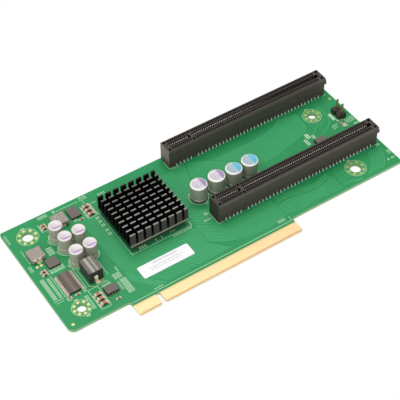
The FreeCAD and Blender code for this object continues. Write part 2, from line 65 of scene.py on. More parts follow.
BOARD_LOW, BOARD_HIGH = corners("circuit_board")
TAB_DEPTH = 8.4
TOP = BOARD_HIGH[2]
UNDER = BOARD_LOW[2]
# Thin layers, such as tracks and print, start this far inside the board.
SUNK = 0.02
PRINT_HEIGHT = 0.04


def at_u(u):
    """The x of a distance from the board's left end."""
    return BOARD_LOW[0] + u


def at_v(v):
    """The y of a distance from the shoulder beside the edge tab."""
    return BOARD_LOW[1] + TAB_DEPTH + v


def spot(u, v):
    """Place on the board, from its left end and from the shoulder."""
    return np.array([at_u(u), at_v(v)])


def spots(places):
    """The same for a list of places, as one array."""
    return np.asarray(places, float) + spot(0, 0)


def height(above):
    """Height over the board's upper face."""
    return TOP + above


def lifted(places, z):
    """Points over places on the board, all at one height."""
    places = np.asarray(places, float).reshape(-1, 2)
    return np.column_stack([places, np.full(len(places), z)])


# ------------------------------------------------------------------ surfaces
class Surface:
    """Vertices and faces of one mesh, in millimetres, added as whole arrays."""

    def __init__(self):
        self.points = []
        self.faces = []
        self.count = 0

    def add(self, points, *face_sets):
        """Adds one array of points and the faces that index it."""
        points = np.asarray(points, float).reshape(-1, 3)
        for faces in face_sets:
            self.faces.extend((np.asarray(faces) + self.count).tolist())
        self.points.append(points)
        self.count += len(points)

    def all_points(self):
        """Every point in one array."""
        return np.concatenate(self.points)


CUBE = np.array([
    [0, 0, 0], [1, 0, 0], [1, 1, 0], [0, 1, 0], [0, 0, 1], [1, 0, 1], [1, 1, 1], [0, 1, 1],
])
CUBE_FACES = np.array([
    [0, 3, 2, 1], [4, 5, 6, 7], [0, 1, 5, 4], [1, 2, 6, 5], [2, 3, 7, 6], [3, 0, 4, 7],
])


def add_blocks(surface, lows, highs):
    """Blocks: each corner is the low corner plus the block's size times a corner of the unit cube."""
    lows = np.asarray(lows, float).reshape(-1, 1, 3)
    highs = np.asarray(highs, float).reshape(-1, 1, 3)
    points = lows + CUBE * (highs - lows)
    faces = CUBE_FACES + 8 * np.arange(len(points)).reshape(-1, 1, 1)
    surface.add(points, faces.reshape(-1, 4))


def add_plates(surface, centres, sizes, bottom, top):
    """Blocks between two heights, centred on board places."""
    centres = np.asarray(centres, float).reshape(-1, 2)
    half = np.asarray(sizes, float) / 2
    add_blocks(surface, lifted(centres - half, bottom), lifted(centres + half, top))


def add_rings(surface, centres, inner, outer, bottom, top, sides=48, start=0.0, sweep=TAU):
    """Flat rings or arcs: a rectangle between two radii, turned about each centre."""
    whole = sweep >= TAU
    steps = np.arange(sides if whole else sides + 1)
    angle = start + sweep * steps / sides
    section = np.array([[outer, bottom], [inner, bottom], [inner, top], [outer, top]], float)
    grid = np.zeros((len(steps), 4, 3))
    grid[..., 0] = np.cos(angle)[:, None] * section[:, 0]
    grid[..., 1] = np.sin(angle)[:, None] * section[:, 0]
    grid[..., 2] = section[:, 1]
    for centre in np.asarray(centres, float).reshape(-1, 2):
        add_grid(surface, grid + np.array([centre[0], centre[1], 0.0]), whole)


def add_grid(surface, grid, whole):
    """Closed tube through a grid of sections: its quads join each point to the next along and around."""
    rows, columns, _ = grid.shape
    index = np.arange(rows * columns).reshape(rows, columns)
    ahead = np.roll(index, -1, axis=0) if whole else index[1:]
    behind = index if whole else index[:-1]
    quads = np.stack(
        [behind, np.roll(behind, -1, axis=1), np.roll(ahead, -1, axis=1), ahead], axis=-1
    ).reshape(-1, 4)
    if whole:
        surface.add(grid, quads)
    else:
        surface.add(grid, quads, [index[0][::-1]], [index[-1]])


def add_ribbons(surface, paths, width, bottom, top):
    """Flat strips along paths: each point moves half the width along its mitred normal to both sides."""
    for path in paths:
        path = np.asarray(path, float)
        leg = np.diff(path, axis=0)
        leg /= np.linalg.norm(leg, axis=1, keepdims=True)
        before = np.vstack([leg[:1], leg])
        after = np.vstack([leg, leg[-1:]])
        tangent = before + after
        tangent /= np.linalg.norm(tangent, axis=1, keepdims=True)
        stretch = 1 / np.clip(np.sum(tangent * before, axis=1), 0.5, 1)
        normal = np.stack([-tangent[:, 1], tangent[:, 0]], axis=1) * stretch[:, None] * width / 2
        grid = np.zeros((len(path), 4, 3))
        grid[:, (0, 3), :2] = (path - normal)[:, None]
        grid[:, (1, 2), :2] = (path + normal)[:, None]
        grid[:, :2, 2] = bottom
        grid[:, 2:, 2] = top
        add_grid(surface, grid, False)


def add_turnings(surface, centres, profile, sides=48):
    """Turned solids: a profile of (radius, height) goes round each centre, its ends closed flat."""
    profile = np.asarray(profile, float)
    angle = TAU * np.arange(sides) / sides
    grid = np.zeros((len(profile), sides, 3))
    grid[..., 0] = profile[:, :1] * np.cos(angle)
    grid[..., 1] = profile[:, :1] * np.sin(angle)
    grid[..., 2] = profile[:, 1:]
    for centre in np.asarray(centres, float).reshape(-1, 2):
        add_grid(surface, grid + np.array([centre[0], centre[1], 0.0]), False)


def add_discs(surface, centres, radius, bottom, top, sides=20):
    """Flat round discs between two heights."""
    add_turnings(surface, centres, ((radius, bottom), (radius, top)), sides)


def add_strips(surface, roots, outward, path, thickness, width):
    """Bent strips: a path of (out, up) is thickened along its normal and given a width across.

    roots are the (x, y, z) starts, and outward the unit vectors in which each path leaves its root.
    """
    path = np.asarray(path, float)
    leg = np.diff(path, axis=0)
    leg /= np.linalg.norm(leg, axis=1, keepdims=True)
    tangent = np.vstack([leg[:1], leg]) + np.vstack([leg, leg[-1:]])
    tangent /= np.linalg.norm(tangent, axis=1, keepdims=True)
    normal = np.stack([-tangent[:, 1], tangent[:, 0]], axis=1) * thickness / 2
    section = np.stack([path - normal, path - normal, path + normal, path + normal], axis=1)
    across = np.array([-1, 1, 1, -1]) * width / 2
    roots = np.asarray(roots, float).reshape(-1, 3)
    outward = np.broadcast_to(np.asarray(outward, float), (len(roots), 2))
    for root, out in zip(roots, outward):
        grid = np.zeros(section.shape[:2] + (3,))
        grid[..., 0] = root[0] + section[..., 0] * out[0] - across * out[1]
        grid[..., 1] = root[1] + section[..., 0] * out[1] + across * out[0]
        grid[..., 2] = root[2] + section[..., 1]
        add_grid(surface, grid, False)


def carved(xs, ys, zs, solid):
    """Outer skin of a block cut into cells: a quad stands wherever a full cell meets an empty one.

    xs, ys and zs are the cell walls, and solid says which cells are full.  Returns points and faces
    that share their corners, so that the skin is closed.
    """
    size = np.array([len(xs), len(ys), len(zs)])
    index = np.arange(size.prod()).reshape(size)
    padded = np.pad(solid, 1)
    faces = []
    for axis in range(3):
        change = np.diff(padded.astype(np.int8), axis=axis)
        inner = [slice(1, -1)] * 3
        inner[axis] = slice(None)
        for sign in (1, -1):
            cell = np.argwhere(change[tuple(inner)] == sign)
            one, two = [a for a in range(3) if a != axis]
            steps = np.zeros((4, 3), int)
            steps[(1, 2), one] = 1
            steps[(2, 3), two] = 1
            if (sign > 0) == (axis != 1):
                steps = steps[::-1]
            corner = cell[:, None] + steps
            faces.append(index[corner[..., 0], corner[..., 1], corner[..., 2]])
    faces = np.concatenate(faces)
    points = np.stack(np.meshgrid(xs, ys, zs, indexing="ij"), axis=-1).reshape(-1, 3)
    used, renumbered = np.unique(faces, return_inverse=True)
    return points[used], renumbered.reshape(faces.shape)


def breaks(*values):
    """Sorted cell walls from single values and arrays, without repeats."""
    joined = np.concatenate([np.asarray(value, float).ravel() for value in values])
    return np.unique(joined.round(4))


def within(edges, low, high):
    """True for each cell between walls that lies inside a stretch."""
    middle = (edges[:-1] + edges[1:]) / 2
    return (middle > low) & (middle < high)


# ------------------------------------------------------------------ shader expressions
class Value:
    """A shader socket that can be used in Python expressions; each operation adds one Math node."""

    def __init__(self, finish, socket):
        self.finish = finish
        self.socket = socket

    def _math(self, operation, first, second=None):
        inputs = {0: first} if second is None else {0: first, 1: second}
        return self.finish.node("ShaderNodeMath", {"operation": operation}, inputs)

    def __add__(self, other):
        return self._math("ADD", self, other)

    def __radd__(self, other):
        return self._math("ADD", other, self)

    def __sub__(self, other):
        return self._math("SUBTRACT", self, other)

    def __rsub__(self, other):
        return self._math("SUBTRACT", other, self)

    def __mul__(self, other):
        return self._math("MULTIPLY", self, other)

    def __rmul__(self, other):
        return self._math("MULTIPLY", other, self)

    def __gt__(self, other):
        return self._math("GREATER_THAN", self, other)

    def __lt__(self, other):
        return self._math("LESS_THAN", self, other)

    def __abs__(self):
        return self._math("ABSOLUTE", self)


class Finish:
    """One material, or the world: it holds the node tree and makes every node through one method."""

    def __init__(self, name, holder=None):
        self.material = holder or bpy.data.materials.new(name)
        self.material.use_nodes = True
        self.tree = self.material.node_tree
        self.tree.nodes.clear()

    def node(self, kind, settings=None, inputs=None, output=0):
        """A node of this kind: its settings first, then the values or links of its sockets."""
        node = self.tree.nodes.new(kind)
        for name, value in (settings or {}).items():
            setattr(node, name, value)
        for key, value in (inputs or {}).items():
            if isinstance(value, Value):
                self.tree.links.new(value.socket, node.inputs[key])
            else:
                node.inputs[key].default_value = value
        return Value(self, node.outputs[output]) if len(node.outputs) else None

    def place(self):
        """Object coordinates."""
        return self.node("ShaderNodeTexCoord", output=3)

    def axes(self, vector):
        """The x, y and z of a vector."""
        split = self.node("ShaderNodeSeparateXYZ", inputs={0: vector})
        return [Value(self, output) for output in split.socket.node.outputs]

    def normal(self):
        """x, y and z of the surface's direction."""
        return self.axes(self.node("ShaderNodeNewGeometry", output=1))

    def scaled(self, x, y, z):
        """Object coordinates in millimetres, stretched along each axis."""
        return self.node(
            "ShaderNodeVectorMath", {"operation": "MULTIPLY"},
            {0: self.place(), 1: (x / MM, y / MM, z / MM)},
        )

    def position(self):
        """x, y and z of the point, in millimetres."""
        return self.axes(self.scaled(1, 1, 1))

    def noise(self, size, detail=3.0, stretch=(1, 1, 1)):
        """Cloudy pattern from 0 to 1 whose clouds are about size millimetres wide."""
        return self.node(
            "ShaderNodeTexNoise", None,
            {"Vector": self.scaled(*stretch), "Scale": 1 / size, "Detail": detail, "Roughness": 0.55},
        )

    def speckle(self, size):
        """Random value from 0 to 1 in each small cell."""
        cells = self.node(
            "ShaderNodeTexVoronoi", None, {"Vector": self.scaled(1, 1, 1), "Scale": 1 / size}, 1
        )
        return self.axes(cells)[0]

    def ramp(self, value, start, end, smooth=True):
        """Rises from 0 to 1 while the value goes from start to end."""
        kind = "SMOOTHSTEP" if smooth else "LINEAR"
        return self.node("ShaderNodeMapRange", {"interpolation_type": kind}, {0: value, 1: start, 2: end})

    def rays(self, *kinds):
        """1 on light paths of these kinds, such as Camera or Glossy."""
        outputs = self.node("ShaderNodeLightPath").socket.node.outputs
        found = [Value(self, outputs[f"Is {kind} Ray"]) for kind in kinds]
        return sum(found[1:], found[0])

    def mix(self, factor, first, second):
        """Colour between two colours."""
        return self.node(
            "ShaderNodeMix", {"data_type": "RGBA"}, {0: factor, 6: first, 7: second}, 2
        )

    def bump(self, height, strength, distance):
        """Normal bent by a height pattern; distance is in millimetres."""
        return self.node(
            "ShaderNodeBump", None, {"Height": height, "Strength": strength, "Distance": distance * MM}
        )

    def done(self, colour, roughness, **inputs):
        """Ends the material with the main shader, whose other sockets are given by name."""
        named = {key.replace("_", " "): value for key, value in inputs.items()}
        named.update({"Base Color": colour, "Roughness": roughness})
        shader = self.node("ShaderNodeBsdfPrincipled", None, named)
        self.node("ShaderNodeOutputMaterial", None, {"Surface": shader})
        return self.material


def paint(red, green, blue):
    """Colour written as screen values from 0 to 255."""
    part = np.array([red, green, blue]) / 255
    linear = np.where(part <= 0.04045, part / 12.92, ((part + 0.055) / 1.055) ** 2.4)
    return (*linear.tolist(), 1.0)


def darker(colour, share):
    """The same colour with this share of its light."""
    return (*(part * share for part in colour[:3]), 1.0)


# ------------------------------------------------------------------ pieces
def piece(name, surface, material, replaced=(), bevel=0.0, segments=2, smooth=False):
    """Makes a mesh of a surface given in millimetres, finishes it and sets it on the card."""
    mesh = bpy.data.meshes.new(name)
    mesh.from_pydata((surface.all_points() * MM).tolist(), [], surface.faces)
    mesh.validate()
    mesh.update()
    if smooth:
        mesh.shade_smooth()
        mesh.set_sharp_from_angle(angle=math.radians(smooth))
    made = bpy.data.objects.new(name, mesh)
    bpy.context.scene.collection.objects.link(made)
    if bevel:
        rounding = made.modifiers.new("edges", "BEVEL")
        rounding.width = bevel * MM
        rounding.segments = segments
        rounding.limit_method = "ANGLE"
        rounding.angle_limit = math.radians(40)
        rounding.harden_normals = False
    mesh.materials.append(material)
    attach(made, "root")
    if replaced:
        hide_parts(*replaced)
    return made


def dress(material, *nodes):
    """Gives CAD nodes a finish; their shape is left alone."""
    for name in nodes:
        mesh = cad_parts[name].data
        mesh.materials.clear()
        mesh.materials.append(material)


def nodes_like(*beginnings):
    """Names of the CAD nodes that begin so."""
    return [name for name in sorted(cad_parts) if name.startswith(beginnings)]


# ------------------------------------------------------------------ settings
def shade(name, description, red, green, blue):
    """A colour that the panel offers."""
    return bpy.props.FloatVectorProperty(
        name=name, description=description, default=paint(red, green, blue), size=4,
        subtype="COLOR", min=0.0, max=1.0,
    )


def distance(name, description, millimetres):
    """A length that the panel offers."""
    return bpy.props.FloatProperty(
        name=name, description=description, default=millimetres * MM, min=0.0,
        subtype="DISTANCE", unit="LENGTH", precision=5,
    )


class CardColours(bpy.types.PropertyGroup):
    """Colours of the card's finishes."""

    solder_mask: shade("Solder mask", "Green lacquer over the copper-filled areas", 44, 152, 90)
    bare_mask: shade("Mask between tracks", "Green lacquer over bare laminate", 34, 140, 82)
    track: shade("Track", "Green lacquer over a copper track", 80, 180, 122)
    ring: shade("Ring", "Green lacquer over the rings round the mounting holes", 130, 174, 102)
    laminate: shade("Laminate", "Cut edge of the glass laminate", 160, 204, 152)
    tab: shade("Tab", "Laminate between the gold fingers", 236, 200, 146)
    gold: shade("Gold", "Plated fingers, pads and rings", 246, 218, 166)
    print_ink: shade("Print", "Pale printing on the board", 182, 220, 180)
    plastic: shade("Slot plastic", "Moulded body of the slots", 84, 76, 71)
    anodised: shade("Anodised metal", "Heat sink", 20, 18, 18)
    sawn: shade("Blade tops", "Upper ends of the heat sink's blades", 136, 132, 128)
    can: shade("Can", "Aluminium of the capacitors", 208, 200, 190)
    can_top: shade("Can top", "Printed top of the capacitors", 226, 220, 226)
    blue_can_top: shade("Top beside blue", "Printed top of the cans with a blue mark", 178, 196, 198)
    purple: shade("Purple mark", "Polarity mark of two large capacitors", 156, 134, 178)
    blue: shade("Blue mark", "Polarity mark of the other two", 84, 180, 212)
    lilac: shade("Lilac mark", "Polarity mark of the small capacitors", 214, 192, 226)
    rubber: shade("Rubber", "Bungs under the large capacitors", 84, 84, 78)
    small_base: shade("Small base", "Bases of the small capacitors", 186, 184, 166)
    tin: shade("Tin", "Solder and tinned leads", 224, 204, 184)
    epoxy: shade("Epoxy", "Moulded chip packages", 102, 96, 90)
    powder: shade("Pressed powder", "Cores of the flat inductors", 172, 160, 150)
    ferrite: shade("Ferrite", "Core of the tall inductor", 44, 42, 40)
    ceramic: shade("Ceramic", "Bodies of the ceramic capacitors", 178, 132, 104)
    paper: shade("Paper", "Label", 250, 250, 250)
    substrate: shade("Substrate", "Laminate under the switch chip", 52, 96, 60)


class CardSizes(bpy.types.PropertyGroup):
    """Sizes that the CAD frame doesn't fix."""

    track_width: distance("Track width", "Width of a covered track", 0.42)
    print_width: distance("Print width", "Width of the printed lines", 0.26)
    finger_width: distance("Finger width", "Width of a gold finger", 0.76)
    window_length: distance("Window length", "Small windows in the slots' tops, along the slot", 0.66)
    window_width: distance("Window width", "Small windows in the slots' tops, across the slot", 1.6)
    tail_width: distance("Tail width", "Solder tails of the slots", 0.34)


def size(name):
    """One of the card's sizes, in millimetres."""
    return getattr(bpy.context.scene.card_sizes, name) / MM


def tint(name):
    """One of the card's colours."""
    return tuple(getattr(bpy.context.scene.card_colours, name))


# ------------------------------------------------------------------ finishes
def board_finish():
    """Green lacquer on both faces with a painted shadow round the heat sink, layered laminate on the cut
    edge, bare laminate on the tab.
    """
    look = Finish("solder_mask")
    x, y, _ = look.position()
    up = look.normal()[2]
    cloud = look.noise(26, 2.0)
    weave = look.noise(0.9, 2.0, stretch=(1, 3, 1))
    green = look.mix(cloud * 1.6 - 0.3, tint("bare_mask"), tint("solder_mask"))
    green = look.mix(weave * 0.15, green, tint("track"))
    # Painted shadow: the board inside the printed frame round the heat sink is darkened.
    painted_sink_shadow = (abs(x - at_u(58.15)) < 15.3) * (abs(y - at_v(36.6)) < 15.2) * (up > 0.35)
    green = look.mix(painted_sink_shadow * 0.4, green, paint(20, 84, 52))
    tab = y < at_v(-2.6)
    face = abs(up) > tab * 0.5 + 0.35
    layers = look.noise(0.35, 2.0, stretch=(0.15, 0.15, 3))
    edge = look.mix(layers, tint("laminate"), paint(130, 180, 124))
    edge = look.mix(tab, edge, paint(255, 244, 212))
    colour = look.mix(tab, green, tint("tab"))
    colour = look.mix(face, edge, colour)
    bumps = look.bump(weave, 0.2, 0.02)
    return look.done(colour, 0.38 + weave * 0.1, Normal=bumps, Specular_IOR_Level=0.2)


def covered_finish(copper, cloud_size, spread):
    """Green lacquer over copper: clouds of the plain board's green."""
    look = Finish("covered_" + copper)
    cloud = look.noise(cloud_size, 2.0)
    colour = look.mix(cloud * spread, tint(copper), tint("solder_mask"))
    return look.done(colour, 0.4 + cloud * 0.1, Specular_IOR_Level=0.2)


def plain_finish(name, colour, roughness, metallic=0.0, grain=0.3, dark=0.8):
    """A colour with fine grain, which darkens it a little, changes its gloss and lifts its surface."""
    look = Finish(name)
    fine = look.noise(grain)
    wide = look.noise(grain * 14, 2.0)
    mottled = look.mix(fine * 0.25 + wide * 0.25, colour, darker(colour, dark))
    return look.done(
        mottled, roughness + (fine - 0.5) * 0.15, Metallic=metallic, Normal=look.bump(fine, 0.35, 0.01)
    )


def sink_finish():
    """Black anodised metal with painted light and shade: grey sawn blade tops, painted darker towards the
    back and darkest on the last row as shade; grey sawn front faces on the front row only, the inner rows
    left black as painted shade; a paler base front edge, machined metal with a painted highlight.
    """
    look = Finish("black_anodised")
    _, y, z = look.position()
    normal = look.normal()
    saw = look.noise(0.25, stretch=(1, 1, 0.08))
    cloud = look.noise(3.0, 2.0)
    black = look.mix(cloud, paint(8, 6, 7), tint("anodised"))
    cut = look.mix(saw, paint(62, 62, 61), paint(88, 86, 84))
    # Paler base front edge: machined metal with a painted highlight.
    edge = look.mix(cloud, paint(190, 174, 166), paint(140, 130, 124))
    low, high = corners("heat_sink")
    # Painted shade on the blade tops: darker towards the back, darkest on the last row.
    back = look.ramp(y, low[1] + 8, high[1], smooth=False)
    end = look.mix(look.noise(0.4, 2.0, stretch=(0.2, 1, 1)), tint("sawn"), paint(154, 150, 146))
    end = look.mix(back, end, paint(100, 96, 92))
    end = look.mix((y > high[1] - 1.3) * 0.75, end, paint(36, 32, 31))
    # Grey front faces on the front row only: the grey is the sawn metal, and leaving the inner rows black
    # is painted shade.
    sawn = (normal[1] < -0.6) * (y < low[1] + 0.2)
    on_base = z < height(4.05)
    colour = look.mix(sawn, black, cut)
    colour = look.mix(sawn * on_base, colour, edge)
    colour = look.mix((normal[2] > 0.5) * (z > height(9.8)), colour, end)
    return look.done(
        colour, 0.55 + saw * 0.15, Normal=look.bump(saw, 0.4, 0.03), Specular_IOR_Level=0.1
    )


def can_finish(name, top, mark, side, line, radius):
    """Aluminium can: metal wall, a shoulder turned near white as a painted highlight, a printed top with
    a coloured segment and rows of small print; the small cans' tops are painted lighter towards the back
    right as painted light.

    side is the axis towards the segment, line the signed distance of its edge from the can's middle, and
    the mesh attribute can_centre holds the middle of each can.
    """
    look = Finish(name)
    centre = look.node("ShaderNodeAttribute", {"attribute_name": "can_centre"}, None, 1)
    offset = look.node("ShaderNodeVectorMath", {"operation": "SUBTRACT"}, {0: look.place(), 1: centre})
    flat = look.node(
        "ShaderNodeVectorMath", {"operation": "MULTIPLY"}, {0: offset, 1: (1 / MM, 1 / MM, 0)}
    )
    reach = look.node("ShaderNodeVectorMath", {"operation": "LENGTH"}, {0: flat}, 1)
    parts = look.axes(flat)
    along, across = parts[side], parts[1 - side]
    up = look.normal()[2]
    z = look.position()[2]
    printed = (up > 0.5) * (z > height(7.5)) * (reach < radius - 0.5)
    segment = (along > line) if line > 0 else (along < line)
    border = abs(along - line) < 0.3
    row = look.node("ShaderNodeMath", {"operation": "FRACT"}, {0: along * (1 / 0.72) + 0.3})
    dash = look.node("ShaderNodeTexNoise", None, {"Vector": flat, "Scale": 2.6, "Detail": 1.0})
    letters = (row < 0.55) * (dash > 0.46) * (reach < radius * 0.72) * (abs(across) < radius * 0.55)
    brushed = look.noise(0.5, stretch=(1, 1, 0.1))
    metal = look.mix(brushed, tint("can"), paint(178, 172, 162))
    face = look.mix(brushed * 0.3, top, paint(190, 186, 194))
    # Small cans: the printed top is a painted light gradient, brighter towards the back right.
    if side:
        painted_top_light = look.ramp(across + along, -3.0, 2.5, smooth=False)
        face = look.mix(painted_top_light, paint(204, 194, 200), paint(232, 226, 222))
    face = look.mix(letters * (0.3 if side else 0.62), face, darker(mark, 0.8))
    face = look.mix(segment, face, mark)
    face = look.mix(border * 0.85, face, paint(160, 124, 188) if side else mark)
    colour = look.mix(printed, metal, face)
    # Painted highlight: the rounded shoulder and outer edge of the top, outside the print, are turned
    # near white, less on the small cans.
    shoulder_highlight = (reach > radius - 0.75) * (up > 0.2) * (z > height(7.0))
    colour = look.mix(shoulder_highlight * (1 - printed) * (0.6 if side else 1.0), colour, paint(255, 253, 246))
    return look.done(colour, 0.36 + brushed * 0.12, Metallic=(1 - printed) * 0.3)


def slot_finish():
    """Moulded plastic with faint flow lines along the wall, and painted light and shade: darker towards
    the foot, painted light on the rear slot's left end, painted shade on the front slot's left end and on
    the tops, a painted highlight along the upper front edge, and the inside of the mouth painted near
    black.
    """
    look = Finish("slot_moulding")
    x, y, z = look.position()
    level = (z - TOP) * (1 / HOUSING[2])
    flow = look.noise(1.6, stretch=(1, 1, 0.12))
    mottle = look.noise(2.5, 2.0)
    grain = look.noise(0.18, 2.0)
    # Painted shade: the wall is darker towards its foot and paler towards the top.
    low = look.mix(flow, paint(78, 70, 65), paint(96, 86, 80))
    high = look.mix(flow, tint("plastic"), paint(102, 92, 87))
    colour = look.mix(mottle * 0.35, look.mix(look.ramp(level, 0.25, 0.6), low, high), paint(56, 50, 47))
    normal = look.normal()
    rear = y > at_v(50)
    lit = look.ramp(level, 0.1, 0.5)
    # Painted light on the rear slot's left end, paler towards the top; painted shadow on the front slot's
    # left end.
    colour = look.mix((normal[0] < -0.6) * rear * lit * 0.8, colour, paint(140, 132, 122))
    colour = look.mix((normal[0] < -0.6) * (1 - rear) * 0.7, colour, paint(34, 38, 32))
    # Painted shade: the top faces are darkened.
    colour = look.mix((normal[2] > 0.6) * 0.42, colour, paint(42, 37, 32))
    # Painted highlight along the upper edge of the front faces.
    colour = look.mix((normal[1] < -0.6) * (level > 0.84) * 0.35, colour, paint(132, 124, 116))
    # Painted shade: the inside of each mouth and bay is painted near black.
    inside = 0.0
    for front in SLOT_FRONTS.values():
        inside = inside + (abs(y - at_v(front + MIDDLE)) < MIDDLE - 0.25)
    left = at_u(SLOT_LEFT)
    inside = inside * (x > left + 0.3) * (x < left + HOUSING[0] - 0.1) * (z < height(HOUSING[2] - 0.02))
    colour = look.mix(inside, colour, paint(9, 7, 6))
    return look.done(
        colour, 0.62 + grain * 0.1, Normal=look.bump(grain + flow, 0.3, 0.02), Specular_IOR_Level=0.3
    )


def spring_finish():
    """Gold springs, coloured by painted light and shade: each slot's rear row gets a near-white painted
    highlight near its tips, fading to the right on the rear slot, and everything else is painted near
    black as shade.
    """
    look = Finish("gold_spring")
    x, y, z = look.position()
    level = (z - TOP) * (1 / HOUSING[2])
    lit = 0.0
    for name, front in SLOT_FRONTS.items():
        row = abs(y - at_v(front + MIDDLE + 0.8)) < 0.75
        if name == "rear":
            row = row * (1 - look.ramp(x, at_u(118), at_u(146), smooth=False) * 0.85)
        lit = lit + row
    lit = lit * (level > 0.86) * (level < 0.93)
    wear = look.noise(0.3)
    bright = look.mix(wear * 0.3, paint(255, 250, 236), paint(255, 240, 214))
    # Painted shade near black, and the painted highlight where lit.
    return look.done(look.mix(lit, paint(16, 11, 9), bright), 0.4 + wear * 0.15)


def tail_finish():
    """Solder on the tails: pale, slightly mottled."""
    look = Finish("solder_tail")
    mottle = look.noise(0.4)
    colour = look.mix(mottle, paint(246, 255, 246), paint(222, 236, 220))
    return look.done(colour, 0.45 + mottle * 0.2, Normal=look.bump(mottle, 0.4, 0.02))


def gold_finish():
    """Gold plating over nickel, faintly brushed and clouded."""
    look = Finish("gold_plating")
    brushed = look.noise(0.2, stretch=(6, 1, 1))
    cloud = look.noise(9, 2.0)
    colour = look.mix(brushed * 0.5 + cloud * 0.4, tint("gold"), paint(244, 206, 150))
    return look.done(colour, 0.3 + brushed * 0.15, Metallic=0.4, Normal=look.bump(brushed, 0.2, 0.01))


def dot_finish():
    """Solder-filled dots round the holes: pale yellow, duller towards the card's right end."""
    look = Finish("solder_dot")
    x = look.position()[0]
    cloud = look.noise(0.6, 2.0)
    right = look.ramp(x, -40.0, 60.0, smooth=False)
    near = look.mix(cloud, paint(234, 232, 172), paint(206, 206, 138))
    far = look.mix(cloud, paint(196, 206, 132), paint(164, 178, 104))
    return look.done(look.mix(right, near, far), 0.4 + cloud * 0.15, Metallic=0.15)


def tin_finish():
    """Solder and tinned copper: pale, warm, slightly mottled."""
    look = Finish("tinned_metal")
    mottle = look.noise(0.35)
    colour = look.mix(mottle, tint("tin"), paint(196, 180, 162))
    return look.done(colour, 0.4 + mottle * 0.2, Metallic=0.25, Normal=look.bump(mottle, 0.4, 0.02))


def powder_finish():
    """Pressed iron powder: pale speckled surface."""
    look = Finish("pressed_powder")
    dots = look.speckle(0.35)
    grain = look.noise(0.22)
    colour = look.mix(dots * 0.55, tint("powder"), paint(112, 104, 98))
    colour = look.mix((dots > 0.86) * 0.7, colour, paint(206, 196, 186))
    return look.done(colour, 0.62 + grain * 0.15, Metallic=0.1, Normal=look.bump(grain + dots, 0.6, 0.05))


def ferrite_finish():
    """Ferrite block: dark matt sides, and a top painted paler as painted light, with two paler lengthwise
    bands.
    """
    look = Finish("ferrite")
    x = look.position()[0]
    up = look.normal()[2]
    grain = look.noise(0.3)
    left_band = look.ramp(abs(x - at_u(21.7)), 1.1, 0.0)
    right_band = look.ramp(abs(x - at_u(23.8)), 0.8, 0.0)
    band = (left_band + right_band * 0.7) * (up > 0.7)
    mottle = look.noise(1.4)
    body = look.mix(mottle, tint("ferrite"), paint(62, 58, 50))
    top = look.mix(grain, paint(122, 114, 104), paint(96, 90, 80))
    # Painted light: the top is much paler than the dark sides.
    colour = look.mix(up > 0.7, body, top)
    colour = look.mix(band * 0.75, colour, paint(196, 196, 186))
    return look.done(colour, 0.5 + grain * 0.2, Normal=look.bump(grain, 0.5, 0.03))


def chip_finish(name, box=None):
    """Moulded package: matt and speckled, with sides painted darker than the top as painted shade; with a
    box, a paler streak runs along its middle.
    """
    look = Finish(name)
    x = look.position()[0]
    up = look.normal()[2]
    grain = look.noise(0.25)
    mottle = look.noise(0.8)
    top = look.mix(mottle, tint("epoxy"), paint(122, 113, 106))
    if box is not None:
        streak = look.ramp(abs(x - (box[0][0] + box[1][0]) / 2), 1.6, 0.0)
        top = look.mix(mottle, paint(92, 82, 74), paint(108, 96, 88))
        top = look.mix(streak * 0.42, top, paint(146, 138, 130))
    # Painted shade: the sides are darker than the top.
    colour = look.mix(up > 0.5, paint(52, 48, 44), top)
    bumps = look.bump(grain, 0.4, 0.02)
    return look.done(colour, 0.55 + grain * 0.15, Normal=bumps, Specular_IOR_Level=0.35)


# ------------------------------------------------------------------ board: tracks, gold and print
def rounded(points, rounds=3):
    """Smooth path: each round cuts every corner a quarter of the way along its two runs."""
    path = np.asarray(points, float)
    for _ in range(rounds):
        near = 0.75 * path[:-1] + 0.25 * path[1:]
        far = 0.25 * path[:-1] + 0.75 * path[1:]
        path = np.vstack([path[:1], np.stack([near, far], axis=1).reshape(-1, 2)[1:-1], path[-1:]])
    return path


def family(first, last, count):
    """Curves between two end curves with the same number of corners, evenly shared out, then rounded."""
    first, last = np.asarray(first, float), np.asarray(last, float)
    return [rounded(first + (last - first) * share) for share in np.linspace(0, 1, count)]


